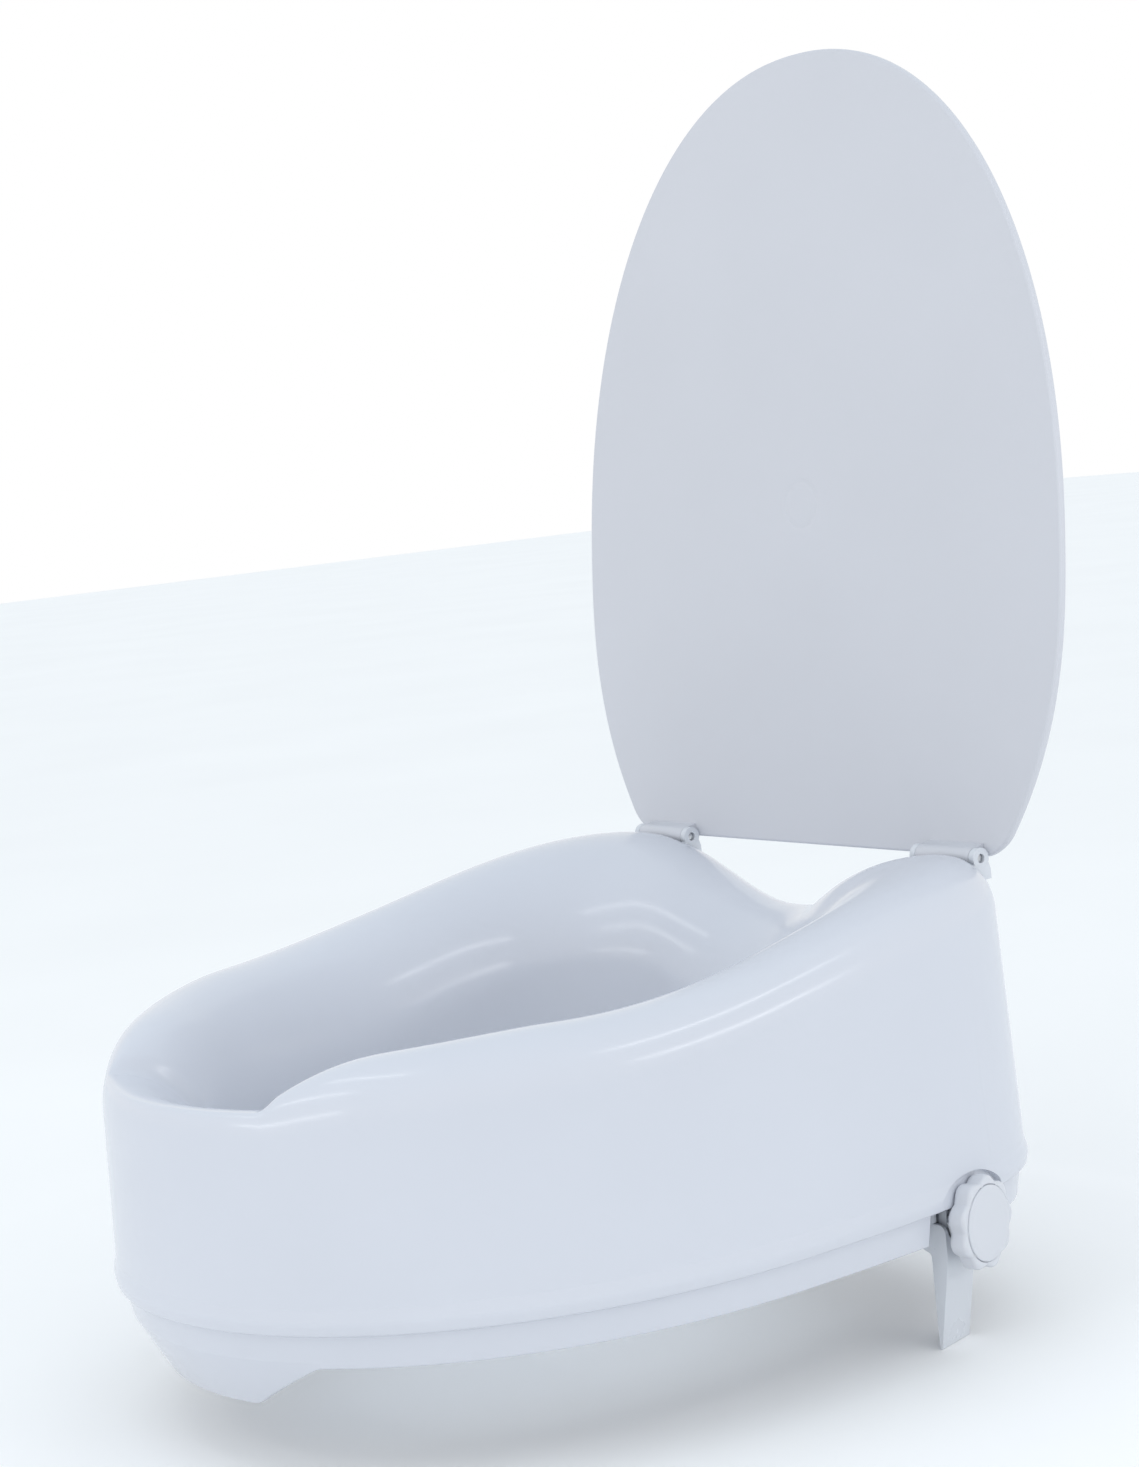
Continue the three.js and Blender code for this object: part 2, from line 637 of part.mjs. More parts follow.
function studPiece() {
  const inner = GUIDE_INNER_X - 0.5;
  const outer = KNOB_FACE_X - 5;
  return turned([[0, inner], [3.3, inner], [STUD_R, inner + 0.8], [STUD_R, outer], [0, outer]], 20);
}

/** Ring on the stud between two places along it. */
function studRing(radius, from, to) {
  const ridge = 0.5;
  return turned([
    [STUD_BORE_R, from], [radius, from], [radius, to - ridge], [radius - ridge, to],
    [STUD_BORE_R, to], [STUD_BORE_R, from],
  ], 16);
}

function lobedShape(radius) {
  const count = KNOB_LOBES * 6;
  return shapeOf(Array.from({ length: count }, (_, i) => {
    const angle = (2 * Math.PI * i) / count;
    const wave = (1 + Math.cos(KNOB_LOBES * angle)) / 2;
    const reach = radius - KNOB_VALLEY * (1 - wave ** 0.7);
    return [reach * Math.cos(angle), STUD_Z + reach * Math.sin(angle)];
  }));
}

function knobPiece() {
  const edge = 1.2;
  const body = solid(alongX(lobedShape(KNOB_R), KNOB_BACK_X + edge, KNOB_FACE_X - edge, {
    bevelEnabled: true, bevelSize: edge, bevelOffset: -edge, bevelThickness: edge, bevelSegments: 1,
  }));
  const hub = solid(turned([
    [0, THRUST_OUT_X + 2.3], [7.6, THRUST_OUT_X + 2.3], [8.4, THRUST_OUT_X + 3.1],
    [9, KNOB_BACK_X + 1], [0, KNOB_BACK_X + 1],
  ]));
  const bore = solid(bar('x', STUD_BORE_R, SLIDER_OUTER_X, KNOB_FACE_X - 4.6, [0, STUD_Z]));
  const seat = solid(bar('x', CAP_R + GAP, KNOB_FACE_X - 1.6, KNOB_FACE_X + 5, [0, STUD_Z], 40));
  return geometryOf(cut(join(body, hub), bore, seat));
}

function knobCap() {
  const back = KNOB_FACE_X - 1.6 + GAP;
  const face = KNOB_FACE_X + 0.8;
  return turned([[0, back], [CAP_R, back], [CAP_R, face - 0.7], [CAP_R - 0.7, face], [0, face]], 40);
}

// ---- Rim pads -----------------------------------------------------------------------

/** Flat pad under the lip, between two angles of the plan. */
function rimPad(from, to) {
  const steps = 8;
  const edge = (inset) => Array.from({ length: steps + 1 }, (_, i) => {
    return planPoint(degToRad(lerp(from, to, i / steps)), inset);
  });
  const outline = shapeOf([...edge(LIP_OUTER_INSET + 1.5), ...edge(LIP_INNER_INSET - 1.5).reverse()]);
  return new THREE.ExtrudeGeometry(outline, { depth: LIP_Z - GAP, bevelEnabled: false });
}

// ---- Assembly -----------------------------------------------------------------------

function material(color, roughness, metalness = 0) {
  return new THREE.MeshStandardMaterial({ color, roughness, metalness });
}

const white = material('#dde4ec', 0.22);
const knobWhite = material('#e3e8ee', 0.3);
const steel = material('#a9adb3', 0.3, 0.9);
const brass = material('#b79a5a', 0.35, 0.8);
const rubber = material('#9aa0a6', 0.85);

const seat = new THREE.Group();

function add(name, geometry, finish) {
  const mesh = new THREE.Mesh(geometry, finish);
  mesh.name = name;
  seat.add(mesh);
  return mesh;
}

function addPair(name, geometry, finish) {
  add(`${name}_right`, geometry, finish);
  add(`${name}_left`, mirrored(geometry), finish);
}

add('seat_body', seatBody(), white);

const lid = add('lid', lidPiece(), white);
lid.position.set(0, HINGE_Y, HINGE_Z);
lid.rotation.x = -LID_LEAN;

addPair('hinge_block', hingeBlock(), white);
addPair('hinge_pin', hingePin(), steel);
HINGE_SCREW_X.forEach((x, i) => {
  const geometry = screw(x, HINGE_SCREW_Y, HINGE_SEAT_Z - 6, 9.5, 1.9, 3.8, 2.6);
  addPair(`hinge_screw_${['inner', 'outer'][i]}`, geometry, steel);
});

addPair('guide_block', clampPlace(guideBlock()), white);
for (const [where, [x, y]] of Object.entries(GUIDE_SCREWS)) {
  addPair(`guide_screw_${where}`, clampPlace(screw(x, y, LIP_Z, 7.6, 1.9, 3.4, 2.4)), steel);
}

addPair('bracket', clampPlace(bracketPiece()), white);
addPair('captive_nut', clampPlace(captiveNut()), brass);
addPair('stud', clampPlace(studPiece()), steel);
addPair('retaining_collar', clampPlace(studRing(7, SLIDER_OUTER_X + 0.7, THRUST_IN_X - GAP)), steel);
addPair('thrust_washer', clampPlace(studRing(9, THRUST_OUT_X + GAP, THRUST_OUT_X + 2)), steel);
addPair('knob', clampPlace(knobPiece()), knobWhite);
addPair('knob_cap', clampPlace(knobCap()), knobWhite);

add('rim_pad_front_right', rimPad(-62, -48), rubber);
add('rim_pad_front_left', rimPad(-132, -118), rubber);
add('rim_pad_rear_right', rimPad(68, 78), rubber);
add('rim_pad_rear_left', rimPad(102, 112), rubber);

export default seat;
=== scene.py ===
"""Raised toilet seat with a hinged lid and two clamping brackets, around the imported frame."""

import json
import math

import bmesh
import bpy
import numpy as np
from mathutils import Matrix, Vector

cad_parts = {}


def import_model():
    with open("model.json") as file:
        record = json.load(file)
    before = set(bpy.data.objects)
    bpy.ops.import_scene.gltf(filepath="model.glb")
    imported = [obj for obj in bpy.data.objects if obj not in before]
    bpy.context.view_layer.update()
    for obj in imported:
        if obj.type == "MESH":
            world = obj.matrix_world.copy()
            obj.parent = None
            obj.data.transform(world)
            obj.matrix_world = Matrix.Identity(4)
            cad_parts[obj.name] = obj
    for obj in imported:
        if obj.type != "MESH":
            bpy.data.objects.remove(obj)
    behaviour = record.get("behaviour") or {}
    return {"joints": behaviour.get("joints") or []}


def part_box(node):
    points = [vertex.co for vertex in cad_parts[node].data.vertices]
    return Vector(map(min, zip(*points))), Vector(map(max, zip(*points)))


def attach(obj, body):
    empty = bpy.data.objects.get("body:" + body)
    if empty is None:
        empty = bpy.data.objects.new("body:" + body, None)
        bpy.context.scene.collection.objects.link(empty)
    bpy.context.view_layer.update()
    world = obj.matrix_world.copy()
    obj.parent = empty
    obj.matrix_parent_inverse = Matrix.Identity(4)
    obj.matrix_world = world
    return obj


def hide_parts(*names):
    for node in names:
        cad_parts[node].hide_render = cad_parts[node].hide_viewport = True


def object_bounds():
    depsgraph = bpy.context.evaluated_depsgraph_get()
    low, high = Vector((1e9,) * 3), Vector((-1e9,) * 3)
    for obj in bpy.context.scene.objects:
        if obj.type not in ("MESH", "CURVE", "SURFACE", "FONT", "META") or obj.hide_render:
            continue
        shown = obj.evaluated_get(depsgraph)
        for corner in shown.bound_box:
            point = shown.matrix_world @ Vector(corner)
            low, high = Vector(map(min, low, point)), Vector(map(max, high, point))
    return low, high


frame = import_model()
CAD_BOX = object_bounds()

# ---- Sizes, in millimetres ------------------------------------------------------------

MM = 0.001
GAP = 0.3
WALL = 3.6


def box_mm(node):
    """Lowest and highest corner of a CAD node, in millimetres."""
    low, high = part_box(node)
    return np.array(low) / MM, np.array(high) / MM


def joint_point(name):
    joint = next(j for j in frame["joints"] if j["name"] == name)
    return np.array(joint["pos_m"]) / MM


SEAT_LOW, SEAT_HIGH = box_mm("seat_body")
_, HINGE_Y, HINGE_Z = joint_point("lid_hinge")
CLAMP_JOINT = joint_point("knob_right_turn")
STUD_Z = CLAMP_JOINT[2]

# Plan of the seat
HALF_WIDTH = SEAT_HIGH[0]
FRONT_REACH = 224.3
PLAN_Y = SEAT_LOW[1] + FRONT_REACH
FRONT_POWER = 2.03
REAR_REACH = 193
REAR_POWER = 3.5
REAR_FLAT = SEAT_HIGH[1] - PLAN_Y
REAR_BLEND = 24

# Band and bead
BAND_FOOT_Z = 0.5
BAND_FOOT_INSET = 6.6
CREASE_Z = 14.9
CREASE_INSET = 4.2
BEAD_Z = 21
BEAD_TOP_Z = 27
BEAD_TOP_INSET = 1.5

# Crest
WING_FRONT_Z = 130.7
WING_REAR_Z = 160.3
WING_RISE_START_Y = -68
WING_RISE_LENGTH = 234
WING_DROOP = 4.5
WING_DROOP_START_Y = -78
WING_DROOP_LENGTH = 57
CREST_INSET = 26
REAR_CREST_INSET = 30
WALL_FLARE = 0.035
SHOULDER_DROP = 27
SHOULDER_POWER = 2.2
RECESS_Z = 107.8
RECESS_HALF_WIDTH = 59
RECESS_STEP_END = 98
RECESS_STEP_POWER = 2.6
RECESS_EASE = 0.18
RECESS_CREST_INSET = 8.5
RECESS_SHOULDER_DROP = 20
DIP_DEPTH = 33.2
DIP_HALF_WIDTH = 67.6
DIP_POWER = 2.4

# Funnel, lip and tab
APERTURE_HALF_WIDTH = 101
APERTURE_FRONT_REACH = 172
APERTURE_REAR_REACH = 99
APERTURE_REAR_POWER = 2.8
FUNNEL_DROP = 60
FUNNEL_FOOT_Z = 10
FUNNEL_DRAFT = 6
LIP_OUTER_INSET = 11.5
LIP_INNER_INSET = 28
LIP_Z = 4
LIP_TOP_Z = 8
TAB_DROP = 22.5
TAB_LEAN = 13
TAB_ROOT_HALF_WIDTH = 80
TAB_TIP_HALF_WIDTH = 40

# Hinges
HINGE_INNER_X = 85.3
HINGE_OUTER_X = 127.9
EAR_WIDTH = 3.4
KNUCKLE_R = 5
PIN_R = 1.85
PIN_HOLE_R = 2.2
HINGE_SEAT_Z = HINGE_Z - 10.5
HINGE_BASE_Z = HINGE_Z - 5.5
HINGE_FRONT_Y = 175.4
HINGE_REAR_Y = 187.4
HINGE_SCREW_X = (96, 117)
HINGE_SCREW_Y = 179
SCREW_BORE_R = 2.2
SEAT_REAR_Y = 215
BOSS_MARGIN = 4
BOSS_FRONT_Y = 168
BOSS_DROP = 6
BOSS_RISE = 2
POCKET_PLAY = 0.7
POCKET_RISE = 14

# Lid
LID_LENGTH = 393
LID_HALF_WIDTH = box_mm("lid")[1][0]
LID_ROOT_HALF_WIDTH = 133.8
LID_WIDEST = 0.37
LID_ROOT_POWER = 2.55
LID_TIP_POWER = 2.15
LID_CORNER_R = 11
LID_THICK = 4
LID_EDGE_R = 1.3
LID_OFFSET = 5.4
LID_LEAN = math.radians(5.7)
GATE_DISTANCE = 170
GATE_R = 11.5

# Clamps: laid out along +X from the middle line, then turned and moved back
CLAMP_TURN = math.radians(14)
CLAMP_ROOT_Y = CLAMP_JOINT[1] - CLAMP_JOINT[0] * math.tan(CLAMP_TURN)
STUD_R = 4
STUD_BORE_R = 4.35
ARCH_HALF_WIDTH = 25
ARCH_SPRING_Z = 12
ARCH_CUT_Z = 16
ARCH_TOP_Z = 28.5
ARCH_IN_X = 120
ARCH_OUT_X = 195
POCKET_IN_X = 166.6
POCKET_BACK_X = 173.4
POCKET_OUT_X = 177
POCKET_MARGIN = 3.5
GUIDE_INNER_X = 110
GUIDE_OUTER_X = 164
GUIDE_WALL = 3.8
THRUST_IN_X = 162
THRUST_OUT_X = 166
THRUST_HALF_WIDTH = 8
THRUST_WEB_Z = 15.5
FLANGE_WIDTH = 11
FLANGE_THICK = 4
GUIDE_SCREWS = {"front": (147.5, -32), "rear": (153.5, 33.5)}
FLANGE_END = {"front": -38, "rear": 39.5}
SLIDER_INNER_X = 142
SLIDER_OUTER_X = 158
SLIDER_HALF_WIDTH = 12.9
SLIDER_FOOT_Z = -3
SLIDER_TOP_Z = 28.5
NUT_FLATS = 13
NUT_THICK = 6.5
LEG_HALF_WIDTH = 11.5
LEG_TIP_Z = box_mm("bracket_right")[0][2]
LEG_ROOT_X = 150
LEG_INNER_X = 158.8
LEG_OUTER_X = 167
LEG_TIP_X = 160
LEG_SHOULDER_Z = -10
LEG_TOP_Z = 6.5
LEG_NOTCH_R = 9.8
KNOB_R = 21.2
KNOB_VALLEY = 2.4
KNOB_LOBES = 9
KNOB_BACK_X = 173.9
KNOB_FACE_X = 182.6
CAP_R = 17
CAP_PLAY = 0.18
CAP_SEAT_DEPTH = 1.6
CAP_RISE = 0.8
KNOB_BORE_DEPTH = 4.6
THREAD_PITCH = 1.25


# ---- Mesh tools -----------------------------------------------------------------------


def lerp(a, b, share):
    return a + (b - a) * share


def smoothstep(value, low, high):
    t = np.clip((value - low) / (high - low), 0, 1)
    return t * t * (3 - 2 * t)


def mesh_object(name, points, faces, sharp=32):
    """New object from points in millimetres, with smooth faces and sharp edges past an angle."""
    mesh = bpy.data.meshes.new(name)
    mesh.from_pydata((np.asarray(points, float) * MM).tolist(), [], faces)
    work = bmesh.new()
    work.from_mesh(mesh)
    bmesh.ops.remove_doubles(work, verts=work.verts, dist=1e-6)
    bmesh.ops.recalc_face_normals(work, faces=work.faces)
    work.to_mesh(mesh)
    work.free()
    obj = bpy.data.objects.new(name, mesh)
    bpy.context.scene.collection.objects.link(obj)
    smooth(obj, sharp)
    return obj


def smooth(obj, sharp):
    mesh = obj.data
    mesh.polygons.foreach_set("use_smooth", [True] * len(mesh.polygons))
    mesh.set_sharp_from_angle(angle=math.radians(sharp))


def applied(obj, sharp=32):
    """The object with its modifiers made real."""
    bpy.context.view_layer.update()
    graph = bpy.context.evaluated_depsgraph_get()
    mesh = bpy.data.meshes.new_from_object(obj.evaluated_get(graph))
    obj.modifiers.clear()
    obj.data = mesh
    smooth(obj, sharp)
    return obj


def boolean(obj, operation, *tools):
    """Joins, cuts or intersects the object with each tool, and removes the tools."""
    for tool in tools:
        modifier = obj.modifiers.new("boolean", "BOOLEAN")
        modifier.operation = operation
        modifier.object = tool
        modifier.solver = "MANIFOLD"
    applied(obj)
    for tool in tools:
        bpy.data.objects.remove(tool)
    return obj


def bevelled(obj, width, segments=3, angle=35):
    modifier = obj.modifiers.new("bevel", "BEVEL")
    modifier.width = width * MM
    modifier.segments = segments
    modifier.limit_method = "ANGLE"
    modifier.angle_limit = math.radians(angle)
    return applied(obj, 40)


def grid(points, closed_rows=False, closed_columns=True):
    """Vertices and quads of a grid of points, columns by rows by 3."""
    columns, rows = points.shape[:2]
    faces = []
    for c in range(columns if closed_columns else columns - 1):
        d = (c + 1) % columns
        for r in range(rows if closed_rows else rows - 1):
            s = (r + 1) % rows
            faces.append((c * rows + r, c * rows + s, d * rows + s, d * rows + r))
    return points.reshape(-1, 3), faces


def block(name, low, high):
    """Box between two corners."""
    x, y, z = zip(low, high)
    points = [(x[i], y[j], z[k]) for i in (0, 1) for j in (0, 1) for k in (0, 1)]
    faces = [(0, 1, 3, 2), (4, 6, 7, 5), (0, 4, 5, 1), (2, 3, 7, 6), (0, 2, 6, 4), (1, 5, 7, 3)]
    return mesh_object(name, points, faces)


def prism(name, outline, axis, start, end):
    """Outline in the two other axes, in their order, extruded along the axis."""
    count = len(outline)
    points = []
    for depth in (start, end):
        for a, b in outline:
            point = [a, b]
            point.insert("xyz".index(axis), depth)
            points.append(point)
    sides = [(i, (i + 1) % count, count + (i + 1) % count, count + i) for i in range(count)]
    ends = [tuple(range(count)), tuple(range(count, 2 * count))]
    return mesh_object(name, points, sides + ends)


def arc(centre, radius, start, end, steps):
    """Points of an arc, with its angles in degrees."""
    angles = np.radians(np.linspace(start, end, steps + 1))
    return [(centre[0] + radius * math.cos(a), centre[1] + radius * math.sin(a)) for a in angles]


def bar(name, axis, radius, start, end, centre, sides=48):
    return prism(name, arc(centre, radius, 0, 360, sides)[:-1], axis, start, end)


def about_stud(angle, profile):
    """Profile of (radius, x) at one angle about the stud's axis."""
    return [(x, r * math.cos(angle), STUD_Z + r * math.sin(angle)) for r, x in profile]


def turned(name, profile, sides=96):
    """Solid of revolution about the clamp axis, from a profile of (radius, x)."""
    points = []
    for i in range(sides):
        a = 2 * math.pi * i / sides
        points.append(about_stud(a, profile))
    return mesh_object(name, *grid(np.array(points), closed_rows=True))


def rounded(corners, steps=4):
    """Open profile whose corners (a, b, radius) are replaced by arcs of that radius."""
    points = []
    for i, (a, b, radius) in enumerate(corners):
        here = np.array((a, b), float)
        if radius <= 0 or i in (0, len(corners) - 1):
            points.append(tuple(here))
            continue
        back = np.array(corners[i - 1][:2], float) - here
        on = np.array(corners[i + 1][:2], float) - here
        long_back, long_on = np.linalg.norm(back), np.linalg.norm(on)
        back, on = back / long_back, on / long_on
        half = math.acos(np.clip(back @ on, -1, 1)) / 2
        if half > math.pi / 2 - 1e-3:
            points.extend([tuple(here)] * (steps + 1))
            continue
        reach = min(radius / math.tan(half), long_back * 0.49, long_on * 0.49)
        radius = reach * math.tan(half)
        middle = here + (back + on) / np.linalg.norm(back + on) * radius / math.sin(half)
        first = here + back * reach - middle
        last = here + on * reach - middle
        turn = math.pi - 2 * half
        for k in range(steps + 1):
            t = k / steps * turn
            arm = (math.sin(turn - t) * first + math.sin(t) * last) / math.sin(turn)
            points.append(tuple(middle + arm))
    return points


def mirrored(obj, name):
    """Copy of an object of the right side for the left side."""
    mesh = obj.data.copy()
    mesh.transform(Matrix.Diagonal((-1, 1, 1, 1)))
    mesh.flip_normals()
    copy = bpy.data.objects.new(name, mesh)
    bpy.context.scene.collection.objects.link(copy)
    return copy


def clamp_place(obj, offset=(0, 0, 0)):
    """Moves a piece of the right clamp from its layout to its place on the seat."""
    turn = Matrix.Rotation(CLAMP_TURN, 4, "Z") @ Matrix.Translation(Vector(offset) * MM)
    obj.data.transform(Matrix.Translation((0, CLAMP_ROOT_Y * MM, 0)) @ turn)
    return obj


# ---- Materials ------------------------------------------------------------------------


def shader(name):
    material = bpy.data.materials.new(name)
    material.use_nodes = True
    nodes = material.node_tree.nodes
    return material, nodes, material.node_tree.links, nodes["Principled BSDF"]


def noise(nodes, links, scale, detail=3.0, roughness=0.5, stretch=(1, 1, 1)):
    """Noise over the object's own coordinates, scale in waves per metre."""
    place = nodes.new("ShaderNodeTexCoord")
    mapping = nodes.new("ShaderNodeMapping")
    mapping.inputs["Scale"].default_value = stretch
    texture = nodes.new("ShaderNodeTexNoise")
    texture.inputs["Scale"].default_value = scale
    texture.inputs["Detail"].default_value = detail
    texture.inputs["Roughness"].default_value = roughness
    links.new(place.outputs["Object"], mapping.inputs["Vector"])
    links.new(mapping.outputs["Vector"], texture.inputs["Vector"])
    return texture.outputs["Fac"]


def ramp(nodes, links, source, low, high, start=0.3, end=0.7):
    """Colours between two, over a source from 0 to 1."""
    stops = nodes.new("ShaderNodeValToRGB")
    stops.color_ramp.elements[0].position = start
    stops.color_ramp.elements[1].position = end
    stops.color_ramp.elements[0].color = (*low, 1)
    stops.color_ramp.elements[1].color = (*high, 1)
    links.new(source, stops.inputs["Fac"])
    return stops.outputs["Color"]


def spread(nodes, links, source, low, high):
    """Values between two, over a source from 0.3 to 0.7."""
    node = nodes.new("ShaderNodeMapRange")
    node.inputs["From Min"].default_value = 0.3
    node.inputs["From Max"].default_value = 0.7
    node.inputs["To Min"].default_value = low
    node.inputs["To Max"].default_value = high
    links.new(source, node.inputs["Value"])
    return node.outputs["Result"]


def bump(nodes, links, source, strength, distance, normal=None):
    node = nodes.new("ShaderNodeBump")
    node.inputs["Strength"].default_value = strength
    node.inputs["Distance"].default_value = distance * MM
    links.new(source, node.inputs["Height"])
    if normal is not None:
        links.new(normal, node.inputs["Normal"])
    return node.outputs["Normal"]


def plastic(name, colour, roughness, wave=0.02, grain=0.1, depth=0.05):
    """Moulded plastic: cloudy tone, uneven gloss, a faint long flow wave and a fine grain."""
    material, nodes, links, surface = shader(name)
    cloud = noise(nodes, links, 9, detail=2)
    low = tuple(c * 0.985 for c in colour)
    high = tuple(min(1, c * 1.012) for c in colour)
    links.new(ramp(nodes, links, cloud, low, high), surface.inputs["Base Color"])
    patchy = noise(nodes, links, 38, detail=5, roughness=0.6)
    links.new(
        spread(nodes, links, patchy, roughness * 0.85, roughness * 1.2),
        surface.inputs["Roughness"],
    )
    flow = bump(nodes, links, noise(nodes, links, 16, detail=1, stretch=(1, 1, 0.5)), wave, 1.0)
    fine = bump(nodes, links, noise(nodes, links, 1400, detail=2), grain, depth, flow)
    links.new(fine, surface.inputs["Normal"])
    surface.inputs["IOR"].default_value = 1.5
    return material


def metal(name, colour, roughness, stretch):
    """Plated or turned metal with fine marks drawn out along one direction."""
    material, nodes, links, surface = shader(name)
    marks = noise(nodes, links, 900, detail=4, stretch=stretch)
    low = tuple(c * 0.82 for c in colour)
    links.new(ramp(nodes, links, marks, low, colour), surface.inputs["Base Color"])
    links.new(
        spread(nodes, links, noise(nodes, links, 220), roughness * 0.75, roughness * 1.35),
        surface.inputs["Roughness"],
    )
    links.new(bump(nodes, links, marks, 0.15, 0.02), surface.inputs["Normal"])
    surface.inputs["Metallic"].default_value = 1.0
    return material


def rubber(name, colour):
    material, nodes, links, surface = shader(name)
    dust = noise(nodes, links, 120, detail=6, roughness=0.7)
    low = tuple(c * 0.8 for c in colour)
    links.new(ramp(nodes, links, dust, low, colour), surface.inputs["Base Color"])
    links.new(spread(nodes, links, dust, 0.7, 0.95), surface.inputs["Roughness"])
    links.new(bump(nodes, links, noise(nodes, links, 2600), 0.4, 0.1), surface.inputs["Normal"])
    return material


SEAT_PLASTIC = plastic("seat_plastic", (0.63, 0.655, 0.72), 0.17)
LID_PLASTIC = plastic("lid_plastic", (0.605, 0.62, 0.67), 0.36, wave=0.01, grain=0.25)
KNOB_PLASTIC = plastic("knob_plastic", (0.65, 0.67, 0.72), 0.34, grain=0.2)
FITTING_PLASTIC = plastic("fitting_plastic", (0.66, 0.69, 0.74), 0.3, grain=0.2)
STEEL = metal("steel", (0.62, 0.63, 0.65), 0.3, (0.15, 1, 1))
BRASS = metal("brass", (0.72, 0.58, 0.33), 0.32, (1, 0.2, 1))
PAD_RUBBER = rubber("pad_rubber", (0.42, 0.44, 0.46))


def fit(obj, body, material, slot, *nodes):
    """Gives a piece its material, the body it moves with and the nodes it stands for. The slot is
    not used.
    """
    obj.data.materials.clear()
    obj.data.materials.append(material)
    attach(obj, body)
    if nodes:
        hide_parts(*nodes)
    return obj


# ---- Seat plan and section ------------------------------------------------------------


def oval_radius(angle, half_width, reach, power):
    across = np.abs(np.cos(angle)) / half_width
    along = np.abs(np.sin(angle)) / reach
    return (across**power + along**power) ** (-1 / power)


def plan_radius(angle):
    along = np.sin(angle)
    front = oval_radius(angle, HALF_WIDTH, FRONT_REACH, FRONT_POWER)
    round_rear = oval_radius(angle, HALF_WIDTH, REAR_REACH, REAR_POWER)
    flat = REAR_FLAT / np.maximum(along, 1e-3)
    rear = (round_rear**-REAR_BLEND + flat**-REAR_BLEND) ** (-1 / REAR_BLEND)
    return np.where(along > 0, rear, front)


def aperture_radius(angle):
    rear = oval_radius(angle, APERTURE_HALF_WIDTH, APERTURE_REAR_REACH, APERTURE_REAR_POWER)
    front = oval_radius(angle, APERTURE_HALF_WIDTH, APERTURE_FRONT_REACH, 2)
    return np.where(np.sin(angle) > 0, rear, front)


def radial_stretch(angle):
    step = 0.01
    slope = (plan_radius(angle + step) - plan_radius(angle - step)) / (2 * step)
    return np.hypot(1, slope / plan_radius(angle))


def plan_point(angle, inset):
    radius = plan_radius(angle) - inset * radial_stretch(angle)
    return radius * np.cos(angle), PLAN_Y + radius * np.sin(angle)


def recess_share(angle):
    x, _ = plan_point(angle, CREST_INSET)
    along = np.clip((np.abs(x) - RECESS_HALF_WIDTH) / (RECESS_STEP_END - RECESS_HALF_WIDTH), 0, 1)
    share = 1 - (1 - (1 - along) ** RECESS_STEP_POWER) * smoothstep(along, 0, RECESS_EASE)
    return np.where(np.sin(angle) > 0, 0, share)


def crest_height(angle):
    x, y = plan_point(angle, CREST_INSET)
    along = np.clip((y - WING_RISE_START_Y) / WING_RISE_LENGTH, 0, 1)
    rise = (WING_REAR_Z - WING_FRONT_Z) * (1 - np.cos(np.pi * along)) / 2
    low = np.maximum(0, (WING_DROOP_START_Y - y) / WING_DROOP_LENGTH)
    dip = DIP_DEPTH * np.exp(-((np.abs(x) / DIP_HALF_WIDTH) ** DIP_POWER))
    dip = np.where(np.sin(angle) > 0, dip, 0)
    wing = WING_FRONT_Z + rise - WING_DROOP * low**1.5 - dip
    return lerp(wing, RECESS_Z, recess_share(angle))


def tab_share(angle):
    """Share of the front tab, with its corners eased."""
    x, _ = plan_point(angle, BAND_FOOT_INSET)
    slope = (TAB_ROOT_HALF_WIDTH - np.abs(x)) / (TAB_ROOT_HALF_WIDTH - TAB_TIP_HALF_WIDTH)
    ease = 0.04
    low = (slope + np.sqrt(slope**2 + ease**2)) / 2
    high = 1 - low
    share = 1 - (high + np.sqrt(high**2 + ease**2)) / 2
    return np.where(np.sin(angle) > 0, 0, np.clip(share, 0, 1))


def quarter(inset0, z0, inset1, z1, power, steps):
    """Quarter of a superellipse between two tangent points, the first one upright."""
    points = []
    for i in range(steps + 1):
        turn = i / steps * math.pi / 2
        inset = inset1 + (inset0 - inset1) * max(0.0, math.cos(turn)) ** (2 / power)
        z = z0 + (z1 - z0) * math.sin(turn) ** (2 / power)
        points.append((inset, z, 0))
    return points


